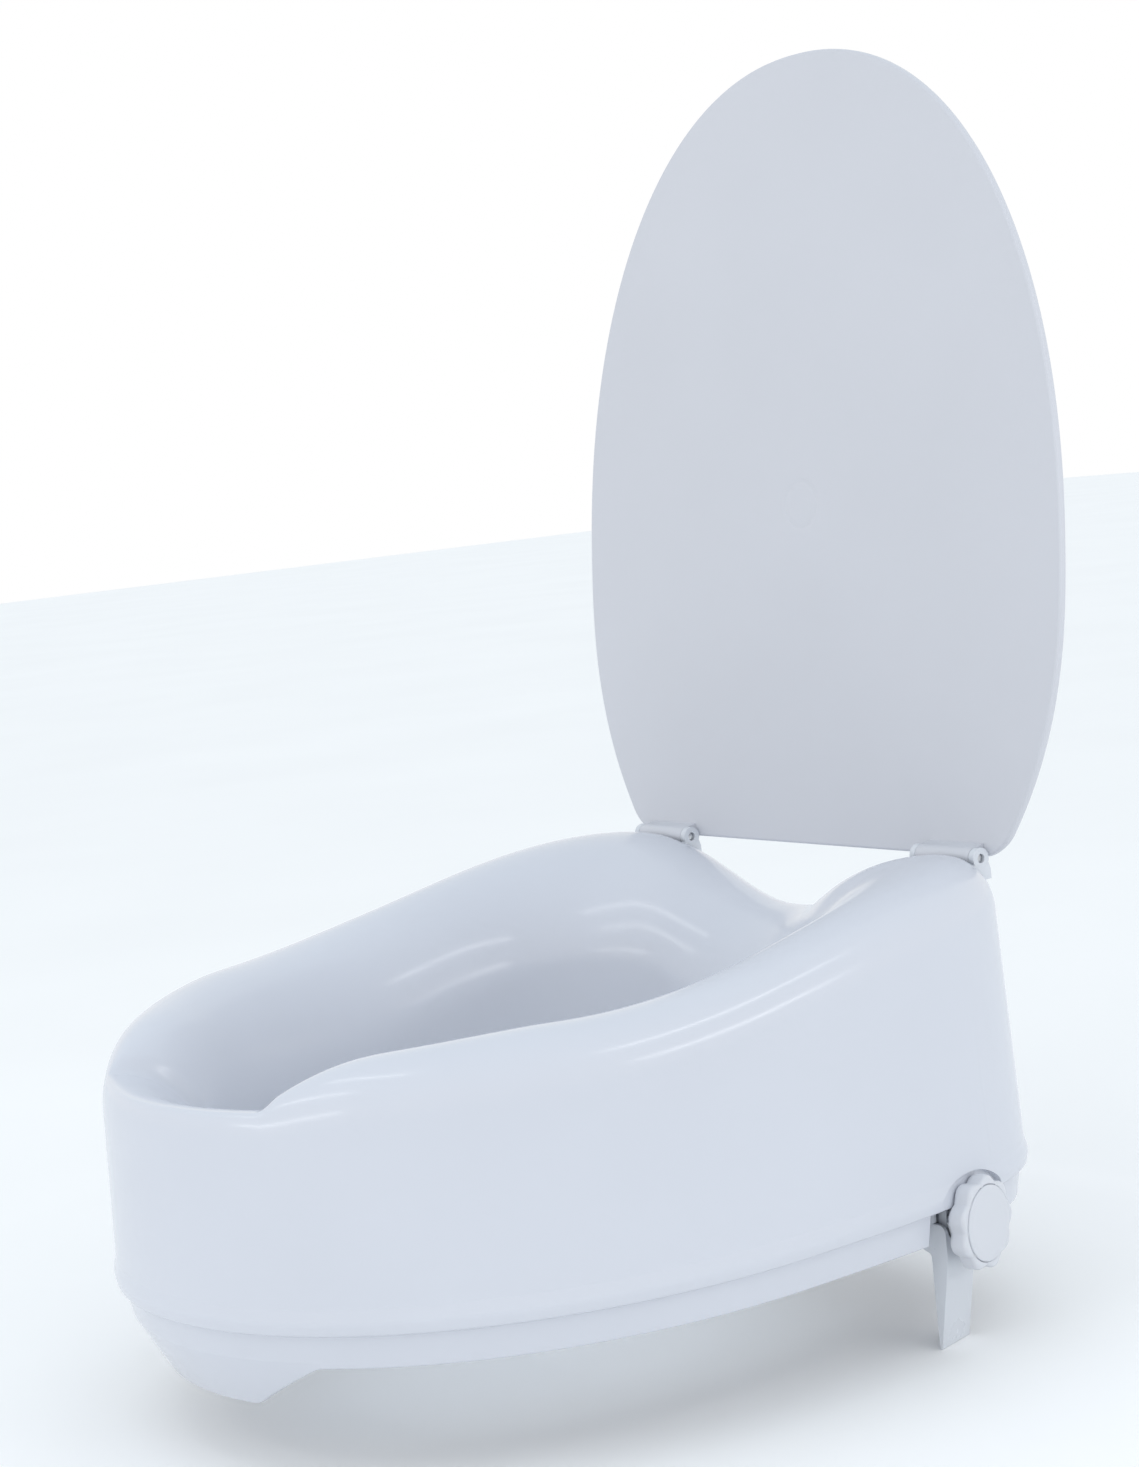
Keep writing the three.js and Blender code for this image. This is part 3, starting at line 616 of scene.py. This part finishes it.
def section(angle):
    """Closed section at one angle, as insets and heights: the visible side, then the hidden one."""
    recess = float(recess_share(angle))
    crest_z = float(crest_height(angle))
    tab = float(tab_share(angle))
    shoulder_z = crest_z - lerp(SHOULDER_DROP, RECESS_SHOULDER_DROP, recess)
    shoulder = BEAD_TOP_INSET + WALL_FLARE * (shoulder_z - BEAD_TOP_Z)
    wing = lerp(CREST_INSET, REAR_CREST_INSET, float(smoothstep(math.sin(angle), 0.4, 0.85)))
    crest = lerp(wing, RECESS_CREST_INSET, recess)
    foot = float((plan_radius(angle) - aperture_radius(angle)) / radial_stretch(angle))
    funnel = foot - FUNNEL_DRAFT
    funnel_z = crest_z - FUNNEL_DROP
    band_foot = BAND_FOOT_INSET + TAB_LEAN * tab
    band_z = BAND_FOOT_Z - TAB_DROP * tab
    outside = [
        (band_foot + WALL / 2, band_z, 0),
        (band_foot, band_z, 1.4),
        (BAND_FOOT_INSET - 0.4, BAND_FOOT_Z + 2.5, 3),
        (CREASE_INSET, CREASE_Z, 0.35),
        (0.9, CREASE_Z + 1.2, 1.5),
        (0, BEAD_Z, 6),
        (BEAD_TOP_INSET, BEAD_TOP_Z, 5),
    ]
    shoulder_curve = quarter(shoulder, shoulder_z, crest, crest_z, SHOULDER_POWER, 22)
    funnel_curve = quarter(funnel, funnel_z, crest, crest_z, 2, 26)[::-1][1:]
    hidden_top = crest_z - WALL
    inside = [
        (foot, FUNNEL_FOOT_Z, 1.5),
        (foot - WALL, FUNNEL_FOOT_Z, 1.5),
        *quarter(funnel - WALL, funnel_z, crest, hidden_top, 2, 12),
        *quarter(shoulder + WALL, shoulder_z, crest, hidden_top, SHOULDER_POWER, 10)[::-1][1:],
        (BEAD_TOP_INSET + WALL, BEAD_TOP_Z, 2),
        (LIP_OUTER_INSET, LIP_TOP_Z, 1.5),
        (LIP_INNER_INSET, LIP_TOP_Z, 1),
        (LIP_INNER_INSET, LIP_Z, 1),
        (LIP_OUTER_INSET, LIP_Z, 1),
        (band_foot + WALL, band_z, 1.4),
        (band_foot + WALL / 2, band_z, 0),
    ]
    visible = rounded([*outside, *shoulder_curve, *funnel_curve, (foot, FUNNEL_FOOT_Z, 0)])[:-1]
    hidden = rounded([funnel_curve[-1], *inside])[1:-1]
    return visible, hidden


def plan_angles(count):
    """Angles all round the plan, closer together at the steps of the front rim."""
    half = np.linspace(-math.pi / 2, math.pi / 2, 4001)
    x, y = plan_point(half, 0)
    length = np.hypot(np.diff(x), np.diff(y))
    middle = (RECESS_HALF_WIDTH + RECESS_STEP_END) / 2 + 6
    near = np.exp(-(((x[1:] - middle) / 16) ** 2)) * (half[1:] < 0)
    travelled = np.concatenate([[0], np.cumsum(length * (1 + 1.6 * near))])
    right = np.interp(np.linspace(0, travelled[-1], count // 2 + 1), travelled, half)
    return np.concatenate([right, (math.pi - right[1:-1])[::-1]])


def swept(name, sections, angles):
    """Ring whose section at each angle is a closed list of insets and heights."""
    points = []
    for angle, profile in zip(angles, sections):
        insets, heights = np.array(profile).T
        x, y = plan_point(angle, insets)
        points.append(np.stack([x, y, heights], 1))
    return mesh_object(name, *grid(np.array(points), closed_rows=True))


# ---- Seat -----------------------------------------------------------------------------


def arch():
    """Pocket for the knob, above the opening of the clamp."""
    outline = [(-ARCH_HALF_WIDTH, LIP_Z), (ARCH_HALF_WIDTH, LIP_Z)]
    for angle in np.linspace(0, math.pi, 33):
        outline.append((
            ARCH_HALF_WIDTH * math.cos(angle),
            ARCH_SPRING_Z + (ARCH_TOP_Z - ARCH_SPRING_Z) * math.sin(angle),
        ))
    return prism("pocket", outline, "x", POCKET_BACK_X, ARCH_OUT_X)


def seat_bosses():
    hinge = block(
        "boss",
        (HINGE_INNER_X - BOSS_MARGIN, BOSS_FRONT_Y, HINGE_SEAT_Z - BOSS_DROP),
        (HINGE_OUTER_X + BOSS_MARGIN, SEAT_REAR_Y, HINGE_Z + BOSS_RISE),
    )
    reach = ARCH_HALF_WIDTH + POCKET_MARGIN
    clamp = block(
        "boss", (POCKET_IN_X, -reach, ARCH_CUT_Z), (POCKET_OUT_X, reach, ARCH_TOP_Z + POCKET_MARGIN)
    )
    return [hinge, clamp_place(clamp)]


def seat_cuts():
    opening = block(
        "opening",
        (ARCH_IN_X, -ARCH_HALF_WIDTH, LEG_TIP_Z),
        (ARCH_OUT_X, ARCH_HALF_WIDTH, ARCH_CUT_Z),
    )
    cuts = [
        block(
            "pocket",
            (HINGE_INNER_X - POCKET_PLAY, HINGE_FRONT_Y - POCKET_PLAY, HINGE_SEAT_Z),
            (HINGE_OUTER_X + POCKET_PLAY, SEAT_REAR_Y, HINGE_Z + POCKET_RISE),
        ),
        clamp_place(opening),
        clamp_place(arch()),
    ]
    cuts += [bar("hole", "z", SCREW_BORE_R, 130, 160, (x, HINGE_SCREW_Y)) for x in HINGE_SCREW_X]
    cuts += [clamp_place(bar("hole", "z", SCREW_BORE_R, 1, 12, at)) for at in GUIDE_SCREWS.values()]
    return cuts


def seat_shell():
    angles = plan_angles(448)
    sections = [section(angle) for angle in angles]
    shell = swept("seat_shell", [visible + hidden for visible, hidden in sections], angles)
    for boss in seat_bosses():
        for piece in (mirrored(boss, "boss_left"), boss):
            filled = swept("filled", [visible for visible, _ in sections], angles)
            boolean(shell, "UNION", boolean(filled, "INTERSECT", piece))
    cuts = seat_cuts()
    cuts += [mirrored(cut, "cut_left") for cut in cuts]
    return boolean(shell, "DIFFERENCE", *cuts)


# ---- Lid ------------------------------------------------------------------------------


def lid_half_width(distance):
    share = distance / LID_LENGTH
    if share > LID_WIDEST:
        t = min(1.0, (share - LID_WIDEST) / (1 - LID_WIDEST))
        return LID_HALF_WIDTH * (1 - t**LID_TIP_POWER) ** (1 / LID_TIP_POWER)
    t = (LID_WIDEST - share) / LID_WIDEST
    width = LID_HALF_WIDTH - (LID_HALF_WIDTH - LID_ROOT_HALF_WIDTH) * t**LID_ROOT_POWER
    left = max(0.0, LID_CORNER_R - distance)
    return width - (LID_CORNER_R - math.sqrt(LID_CORNER_R**2 - left**2))


def lid_outline():
    """Closed outline of the lid: across, and along from the hinged edge."""
    corner = [LID_CORNER_R * (1 - math.cos(math.radians(a))) for a in np.linspace(0, 90, 11)]
    root = list(np.linspace(LID_CORNER_R, LID_WIDEST * LID_LENGTH, 50)[1:])
    turns = np.radians(np.linspace(0, 90, 130)[1:])
    tip = [
        LID_LENGTH * (LID_WIDEST + (1 - LID_WIDEST) * math.sin(t) ** (2 / LID_TIP_POWER))
        for t in turns
    ]
    right = [(lid_half_width(d), d) for d in (*corner, *root, *tip)]
    edge = [(x, 0) for x in np.linspace(-1, 1, 81)[1:-1] * right[0][0]]
    left = [(-x, d) for x, d in right[-2::-1]]
    return np.array([*right, *left, *edge])


def lid_place(points):
    """Points of the lid about its hinge, turned back by its lean and put in their place."""
    turn = np.array(Matrix.Rotation(-LID_LEAN, 3, "X"))
    return np.asarray(points) @ turn.T + (0, HINGE_Y, HINGE_Z)


def lid_panel():
    outline = lid_outline()
    ahead = np.roll(outline, -1, 0) - np.roll(outline, 1, 0)
    outward = np.stack([ahead[:, 1], -ahead[:, 0]], 1)
    outward /= np.linalg.norm(outward, axis=1)[:, None]
    gate = np.array([0, GATE_DISTANCE])
    arms = outline - gate
    directions = arms / np.linalg.norm(arms, axis=1)[:, None]
    rings = [(gate + directions * r, depth) for r, depth in (
        (0.2, 0.0), (GATE_R - 3.2, 0.0), (GATE_R - 0.8, 0.0), (GATE_R - 0.4, 0.1),
        (GATE_R + 0.4, 0.1), (GATE_R + 0.8, 0.0), (GATE_R + 4, 0.0),
    )]
    start = gate + directions * (GATE_R + 4)
    limit = outline - outward * (LID_EDGE_R + 0.4)
    rings += [(lerp(start, limit, share), 0.0) for share in np.linspace(0, 1, 14)[1:]]
    for degrees in np.linspace(0, 90, 7):
        turn = math.radians(degrees)
        rings.append((
            outline - outward * LID_EDGE_R * (1 - math.sin(turn)),
            LID_EDGE_R * (1 - math.cos(turn)),
        ))
    front = [np.insert(plan, 1, LID_OFFSET + depth, axis=1) for plan, depth in rings]
    plain = rings[len(rings) - 8:]
    behind = LID_OFFSET + LID_THICK
    back = [np.insert(plan, 1, behind - depth, axis=1) for plan, depth in plain[::-1]]
    back.append(np.insert(gate + arms * 0.002, 1, behind, axis=1))
    points = np.stack([*front, *back], 1)
    places, faces = grid(points)
    rows, columns = points.shape[1], points.shape[0]
    faces.append(tuple(c * rows for c in range(columns)))
    faces.append(tuple(c * rows + rows - 1 for c in range(columns)))
    panel = mesh_object("lid_panel", lid_place(places), faces)
    knuckle = [(y, z) for y, z in arc((0, 0), KNUCKLE_R, 90, 270, 24)]
    knuckle += [(LID_OFFSET + 1.5, -1), (LID_OFFSET + 1.5, KNUCKLE_R + 2)]
    near = HINGE_INNER_X + EAR_WIDTH + GAP
    far = HINGE_OUTER_X - EAR_WIDTH - GAP
    for side in (1, -1):
        ends = sorted((side * near, side * far))
        barrel = prism("knuckle", knuckle, "x", *ends)
        hole = bar("hole", "x", PIN_HOLE_R, ends[0] - 5, ends[1] + 5, (0, 0))
        boolean(barrel, "DIFFERENCE", hole)
        bevelled(barrel, 0.35)
        barrel.data.transform(
            Matrix.Translation((0, HINGE_Y * MM, HINGE_Z * MM)) @ Matrix.Rotation(-LID_LEAN, 4, "X")
        )
        boolean(panel, "UNION", barrel)
    return panel


# ---- Hinge hardware -------------------------------------------------------------------


def hinge_block():
    low_ear = [(HINGE_FRONT_Y, HINGE_SEAT_Z + GAP), (HINGE_REAR_Y, HINGE_SEAT_Z + GAP)]
    spread_y, drop_z = KNUCKLE_R * 0.9, KNUCKLE_R * 0.45
    ear = [
        *low_ear, (HINGE_REAR_Y, HINGE_BASE_Z), (HINGE_Y + spread_y, HINGE_Z - drop_z),
        *arc((HINGE_Y, HINGE_Z), KNUCKLE_R, -26, 206, 30),
        (HINGE_FRONT_Y, HINGE_BASE_Z),
    ]
    piece = block(
        "hinge_mount_right",
        (HINGE_INNER_X, HINGE_FRONT_Y, HINGE_SEAT_Z + GAP),
        (HINGE_OUTER_X, HINGE_REAR_Y, HINGE_BASE_Z),
    )
    ear_starts = (HINGE_INNER_X, HINGE_OUTER_X - EAR_WIDTH)
    boolean(piece, "UNION", *(prism("ear", ear, "x", x, x + EAR_WIDTH) for x in ear_starts))
    low, high = HINGE_SEAT_Z - 2, HINGE_SEAT_Z + 4.4
    holes = [bar("hole", "z", SCREW_BORE_R, low, high, (x, HINGE_SCREW_Y)) for x in HINGE_SCREW_X]
    start, end = HINGE_INNER_X - 5, HINGE_OUTER_X + 5
    holes.append(bar("hole", "x", PIN_HOLE_R, start, end, (HINGE_Y, HINGE_Z)))
    boolean(piece, "DIFFERENCE", *holes)
    return bevelled(piece, 0.4)


def hinge_pin():
    start, end = HINGE_INNER_X + 1.2, HINGE_OUTER_X - 1.2
    piece = bar("hinge_axle_right", "x", PIN_R, start, end, (HINGE_Y, HINGE_Z))
    return bevelled(piece, 0.35)


def screw(name, length, shank, head, head_height, pitch):
    """Pan-head screw driven upwards, with a cross recess and a thread, standing on z = 0."""
    sides, per_turn = 40, 8
    columns = []
    rows = int(length / pitch * per_turn)
    for i in range(sides):
        a = 2 * math.pi * i / sides
        column = [
            (0.0, -head_height), (head * 0.55, -head_height), (head * 0.82, -head_height * 0.86),
            (head * 0.97, -head_height * 0.5), (head, -head_height * 0.12), (head * 0.97, 0.0),
        ]
        for k in range(rows + 1):
            z = length * k / rows
            phase = (z / pitch - a / (2 * math.pi)) % 1
            taper = min(1.0, (length - z) / (1.6 * shank))
            ridge = abs(phase - 0.5) * 2
            column.append((shank * (0.74 + 0.26 * ridge) * (0.12 + 0.88 * taper), z))
        column.append((0.0, length))
        columns.append([(r * math.cos(a), r * math.sin(a), z) for r, z in column])
    piece = mesh_object(name, *grid(np.array(columns)), sharp=50)
    slots = []
    reach, width = head * 0.5, 0.45
    for x, y in ((reach, width), (width, reach)):
        slots.append(block("slot", (-x, -y, -head_height - 1), (x, y, -head_height * 0.35)))
    return boolean(piece, "DIFFERENCE", *slots)


# ---- Clamp ----------------------------------------------------------------------------


def guide_block():
    in_y = SLIDER_HALF_WIDTH + GAP + 0.1
    out_y = in_y + GUIDE_WALL
    top = SLIDER_TOP_Z + 0.5
    roof = top + FLANGE_THICK
    foot = LIP_TOP_Z + GAP
    parts = [
        ((GUIDE_INNER_X, -out_y, top), (GUIDE_OUTER_X, out_y, roof)),
        ((GUIDE_INNER_X, -out_y, foot), (GUIDE_OUTER_X, -in_y, top + 0.1)),
        ((GUIDE_INNER_X, in_y, foot), (GUIDE_OUTER_X, out_y, top + 0.1)),
        ((THRUST_IN_X, -THRUST_HALF_WIDTH, BAND_FOOT_Z), (THRUST_OUT_X, THRUST_HALF_WIDTH, roof)),
        ((THRUST_IN_X, -in_y - 1, THRUST_WEB_Z), (GUIDE_OUTER_X, in_y + 1, top + 0.1)),
    ]
    for where, (x, _) in GUIDE_SCREWS.items():
        ends = sorted((math.copysign(in_y, FLANGE_END[where]), FLANGE_END[where]))
        half = FLANGE_WIDTH / 2
        parts.append(((x - half, ends[0], foot), (x + half, ends[1], foot + FLANGE_THICK)))
    piece, *more = (block("clamp_guide_right", low, high) for low, high in parts)
    boolean(piece, "UNION", *more)
    cuts = [
        bar("bore", "x", STUD_BORE_R, SLIDER_OUTER_X, KNOB_BACK_X, (0, STUD_Z)),
        block(
            "slot",
            (SLIDER_OUTER_X, -STUD_BORE_R, SLIDER_FOOT_Z),
            (KNOB_BACK_X, STUD_BORE_R, STUD_Z),
        ),
        *(bar("hole", "z", SCREW_BORE_R, 5, 14, at) for at in GUIDE_SCREWS.values()),
    ]
    boolean(piece, "DIFFERENCE", *cuts)
    return clamp_place(bevelled(piece, 0.5))


def hexagon(flats):
    return arc((0, STUD_Z), flats / math.sqrt(3), 0, 360, 6)[:-1]


def bracket():
    """Slider with its leg. The top of the leg has two cheeks beside the stud."""
    piece = block(
        "clamp_bracket_right",
        (SLIDER_INNER_X, -SLIDER_HALF_WIDTH, SLIDER_FOOT_Z),
        (SLIDER_OUTER_X, SLIDER_HALF_WIDTH, SLIDER_TOP_Z),
    )
    outline = rounded([
        (LEG_ROOT_X, -3.2, 0), (LEG_ROOT_X, SLIDER_FOOT_Z - 0.5, 0.2),
        (LEG_INNER_X, LEG_SHOULDER_Z + 2.5, 2.5),
        (LEG_TIP_X - 1.2, LEG_TIP_Z, 0.5), (LEG_TIP_X, LEG_TIP_Z, 0.5),
        (LEG_OUTER_X, LEG_SHOULDER_Z, 14), (LEG_OUTER_X, LEG_TOP_Z, 4.2),
        (SLIDER_OUTER_X + 0.8, LEG_TOP_Z, 1.5), (LEG_ROOT_X, LEG_TOP_Z, 0),
    ], steps=8)
    leg = prism("leg", outline, "y", -LEG_HALF_WIDTH, LEG_HALF_WIDTH)
    notch = bar("notch", "x", LEG_NOTCH_R, SLIDER_OUTER_X, KNOB_BACK_X, (0, STUD_Z), 64)
    boolean(leg, "DIFFERENCE", notch)
    boolean(piece, "UNION", leg)
    nut_end = SLIDER_INNER_X + NUT_THICK + 2 * GAP
    boolean(
        piece, "DIFFERENCE",
        bar("bore", "x", STUD_BORE_R + 0.2, SLIDER_INNER_X - 5, SLIDER_OUTER_X + 5, (0, STUD_Z)),
        prism("pocket", hexagon(NUT_FLATS + 0.7), "x", SLIDER_INNER_X - 5, nut_end),
    )
    return clamp_place(bevelled(piece, 0.6))


def captive_nut():
    start, end = SLIDER_INNER_X + GAP, SLIDER_INNER_X + GAP + NUT_THICK
    flat, corner = NUT_FLATS / 2, NUT_FLATS / math.sqrt(3)
    columns = []
    for i in range(72):
        a = 2 * math.pi * i / 72
        side = flat / math.cos((a + math.pi / 6) % (math.pi / 3) - math.pi / 6)
        chamfer = corner - 0.55
        profile = [
            (STUD_BORE_R, start + 0.5), (STUD_BORE_R + 0.5, start), (min(side, chamfer), start),
            (side, start + max(0, side - chamfer) * 0.6),
            (side, end - max(0, side - chamfer) * 0.6),
            (min(side, chamfer), end), (STUD_BORE_R + 0.5, end), (STUD_BORE_R, end - 0.5),
        ]
        columns.append(about_stud(a, profile))
    return clamp_place(mesh_object("clamp_nut_right", *grid(np.array(columns), closed_rows=True)))


def stud():
    """Stud whose inner length has a helical thread."""
    start, end = GUIDE_INNER_X - 0.5, KNOB_FACE_X - 5
    per_turn, sides, depth = 8, 32, 0.68
    rows = int((end - start) / THREAD_PITCH * per_turn)
    columns = []
    for i in range(sides):
        a = 2 * math.pi * i / sides
        column = [(0.0, start)]
        for k in range(rows + 1):
            x = lerp(start, end, k / rows)
            phase = (x / THREAD_PITCH - a / (2 * math.pi)) % 1
            threaded = float(1 - smoothstep(x, SLIDER_OUTER_X - 2, SLIDER_OUTER_X))
            cut = depth * (1 - abs(phase - 0.5) * 2) * threaded
            tip = 0.7 * max(0.0, 1 - (x - start) / 0.8)
            column.append((STUD_R - max(cut, tip), x))
        column.append((0.0, end))
        columns.append(about_stud(a, column))
    return clamp_place(mesh_object("clamp_stud_right", *grid(np.array(columns)), sharp=50))


def stud_ring(name, radius, start, end):
    profile = rounded([
        (STUD_BORE_R, (start + end) / 2, 0), (STUD_BORE_R, start, 0.2), (radius, start, 0.25),
        (radius, end, 0.5), (STUD_BORE_R, end, 0.2), (STUD_BORE_R, (start + end) / 2, 0),
    ])[:-1]
    return clamp_place(turned(name, profile, sides=64))


def lobed(radius, angle):
    wave = (1 + math.cos(KNOB_LOBES * angle)) / 2
    return radius - KNOB_VALLEY * (1 - wave**0.7)


def knob():
    """Lobed knob with its hub, its bore and the seat of its cover disc."""
    hub = THRUST_OUT_X + 2.3
    seat = KNOB_FACE_X - CAP_SEAT_DEPTH
    bore_end = KNOB_FACE_X - KNOB_BORE_DEPTH
    profile = rounded([
        (0, bore_end, 0), (STUD_BORE_R, bore_end, 0), (STUD_BORE_R, hub, 0.4),
        (8, hub, 0.8), (9, KNOB_BACK_X, 1.2),
        (KNOB_R, KNOB_BACK_X, 2.2), (KNOB_R, KNOB_FACE_X, 2.6),
        (CAP_R + CAP_PLAY, KNOB_FACE_X, 0.5), (CAP_R + CAP_PLAY, seat, 0), (0, seat, 0),
    ], steps=6)
    columns = []
    for i in range(KNOB_LOBES * 28):
        a = 2 * math.pi * i / (KNOB_LOBES * 28)
        column = []
        for r, x in profile:
            share = float(smoothstep(r, CAP_R + 0.4, KNOB_R - 1.6)) if x > KNOB_BACK_X - 0.1 else 0
            column.append((r - (KNOB_R - lobed(KNOB_R, a)) * share, x))
        columns.append(about_stud(a, column))
    return clamp_place(mesh_object("hand_knob_right", *grid(np.array(columns))))


def knob_cap():
    back = KNOB_FACE_X - CAP_SEAT_DEPTH + GAP
    face = KNOB_FACE_X + CAP_RISE
    profile = rounded([
        (0, back, 0), (CAP_R, back, 0.2), (CAP_R, face - 0.25, 0.8),
        (CAP_R - 3, face, 6), (0, face, 0),
    ], steps=6)
    return clamp_place(turned("knob_disc_right", profile))


# ---- Rim pads -------------------------------------------------------------------------


def rim_pad(name, start, end):
    angles = np.radians(np.linspace(start, end, 25))
    outer = [tuple(map(float, plan_point(a, LIP_OUTER_INSET + 1.5))) for a in angles]
    inner = [tuple(map(float, plan_point(a, LIP_INNER_INSET - 1.5))) for a in angles[::-1]]
    return bevelled(prism(name, outer + inner, "z", 0, LIP_Z - GAP), 0.5)


# ---- Assembly -------------------------------------------------------------------------


def fit_pair(piece, bodies, material, slot, node):
    """The right piece and its mirrored copy. The bodies are for the right and the left side."""
    left = mirrored(piece, piece.name.replace("_right", "_left"))
    fit(piece, bodies[0], material, slot, f"{node}_right")
    fit(left, bodies[1], material, slot, f"{node}_left")


SEAT_SIDES = ("seat", "seat")
KNOB_SIDES = ("knob_right", "knob_left")
BRACKET_SIDES = ("bracket_right", "bracket_left")

fit(seat_shell(), "seat", SEAT_PLASTIC, "seat_plastic", "seat_body")
fit(lid_panel(), "lid", LID_PLASTIC, "lid_plastic", "lid")
fit_pair(hinge_block(), SEAT_SIDES, FITTING_PLASTIC, "fitting_plastic", "hinge_block")
fit_pair(hinge_pin(), SEAT_SIDES, STEEL, "steel", "hinge_pin")
fit_pair(guide_block(), SEAT_SIDES, FITTING_PLASTIC, "fitting_plastic", "guide_block")
fit_pair(bracket(), BRACKET_SIDES, FITTING_PLASTIC, "fitting_plastic", "bracket")
fit_pair(captive_nut(), BRACKET_SIDES, BRASS, "brass", "captive_nut")
fit_pair(stud(), KNOB_SIDES, STEEL, "steel", "stud")
collar = stud_ring("stud_collar_right", 7, SLIDER_OUTER_X + 0.7, THRUST_IN_X - GAP)
fit_pair(collar, KNOB_SIDES, STEEL, "steel", "retaining_collar")
washer = stud_ring("stud_washer_right", 9, THRUST_OUT_X + GAP, THRUST_OUT_X + 2)
fit_pair(washer, KNOB_SIDES, STEEL, "steel", "thrust_washer")
fit_pair(knob(), KNOB_SIDES, KNOB_PLASTIC, "knob_plastic", "knob")
fit_pair(knob_cap(), KNOB_SIDES, KNOB_PLASTIC, "knob_plastic", "knob_cap")

for where, x in zip(("inner", "outer"), HINGE_SCREW_X):
    piece = screw(f"hinge_fixing_{where}_right", 9.5, 1.9, 3.8, 2.6, 1.2)
    foot = Vector((x, HINGE_SCREW_Y, HINGE_SEAT_Z - BOSS_DROP - GAP))
    piece.data.transform(Matrix.Translation(foot * MM))
    fit_pair(piece, SEAT_SIDES, STEEL, "steel", f"hinge_screw_{where}")
for where, (x, y) in GUIDE_SCREWS.items():
    piece = screw(f"guide_fixing_{where}_right", 7.6, 1.9, 3.4, 2.4, 1.2)
    clamp_place(piece, (x, y, LIP_Z - GAP))
    fit_pair(piece, SEAT_SIDES, STEEL, "steel", f"guide_screw_{where}")
for where, start, end in (("front", -62, -48), ("rear", 68, 78)):
    fit_pair(rim_pad(f"lip_pad_{where}_right", start, end), SEAT_SIDES, PAD_RUBBER, "pad_rubber",
             f"rim_pad_{where}")


# ---- Stage, lights and camera ---------------------------------------------------------

scene = bpy.context.scene
scene.view_settings.view_transform = "Standard"


def floor():
    z = CAD_BOX[0].z / MM
    reach = 12000
    corners = [(-reach, -reach, z), (reach, -reach, z), (reach, reach, z), (-reach, reach, z)]
    piece = mesh_object("studio_floor", corners, [(0, 1, 2, 3)])
    material, nodes, links, surface = shader("studio_floor")
    tone = ramp(nodes, links, noise(nodes, links, 3), (0.955, 0.955, 0.955), (0.975, 0.975, 0.975))
    links.new(tone, surface.inputs["Base Color"])
    surface.inputs["Roughness"].default_value = 0.9
    piece.data.materials.append(material)


def world(level, overhead, strength):
    """Light tent: one colour at eye level, another overhead."""
    scene.world = bpy.data.worlds.new("studio")
    scene.world.use_nodes = True
    nodes, links = scene.world.node_tree.nodes, scene.world.node_tree.links
    place = nodes.new("ShaderNodeTexCoord")
    split = nodes.new("ShaderNodeSeparateXYZ")
    links.new(place.outputs["Generated"], split.inputs["Vector"])
    tone = ramp(nodes, links, split.outputs["Z"], level, overhead, start=0.3, end=0.9)
    links.new(tone, nodes["Background"].inputs["Color"])
    nodes["Background"].inputs["Strength"].default_value = strength


def bearing(azimuth, elevation):
    """Direction from the seat out to a place around it, and the level direction to its right."""
    turn, lift = math.radians(azimuth), math.radians(elevation)
    out = Vector((
        math.sin(turn) * math.cos(lift), -math.cos(turn) * math.cos(lift), math.sin(lift)
    ))
    return out, Vector((math.cos(turn), math.sin(turn), 0))


def bar_light(name, azimuth, elevation, length, power):
    """Long narrow level light, 1.1 m away, that looks at a point above the seat's origin."""
    reach, width, aim = 1.1, 0.03, Vector((0, 0, 0.1))
    back, along = bearing(azimuth, elevation)
    data = bpy.data.lights.new(name, "AREA")
    data.shape = "RECTANGLE"
    data.size, data.size_y = length, width
    data.energy = power
    light = bpy.data.objects.new(name, data)
    place = Matrix((along, back.cross(along), back)).transposed().to_4x4()
    light.matrix_world = Matrix.Translation(back * reach + aim) @ place
    scene.collection.objects.link(light)


def camera():
    back, right = bearing(54.60, 5.92)
    roll = math.radians(-5.99)
    up = back.cross(right)
    side = math.cos(roll) * right + math.sin(roll) * up
    top = -math.sin(roll) * right + math.cos(roll) * up
    data = bpy.data.cameras.new("camera")
    data.lens = 67.38
    data.shift_x, data.shift_y = 0.0194, 0.0130
    data.clip_end = 100
    view = bpy.data.objects.new("camera", data)
    turn = Matrix((side, top, back)).transposed()
    view.matrix_world = Matrix.Translation((1.0401, -0.7093, 0.3572)) @ turn.to_4x4()
    scene.collection.objects.link(view)
    scene.camera = view


floor()
world((1.0, 1.0, 1.0), (0.84, 0.93, 1.0), 1.0)
for name, azimuth, elevation, length, power in (
    ("bar_right_high", 108, 38, 0.62, 0.55),
    ("bar_right_low", 108, 14, 0.62, 0.55),
    ("bar_front_high", 0, 60, 0.6, 0.45),
    ("bar_front_low", 0, 38, 0.6, 0.45),
    ("bar_front_foot", 8, 12, 0.6, 0.45),
):
    bar_light(name, azimuth, elevation, length, power)
camera()
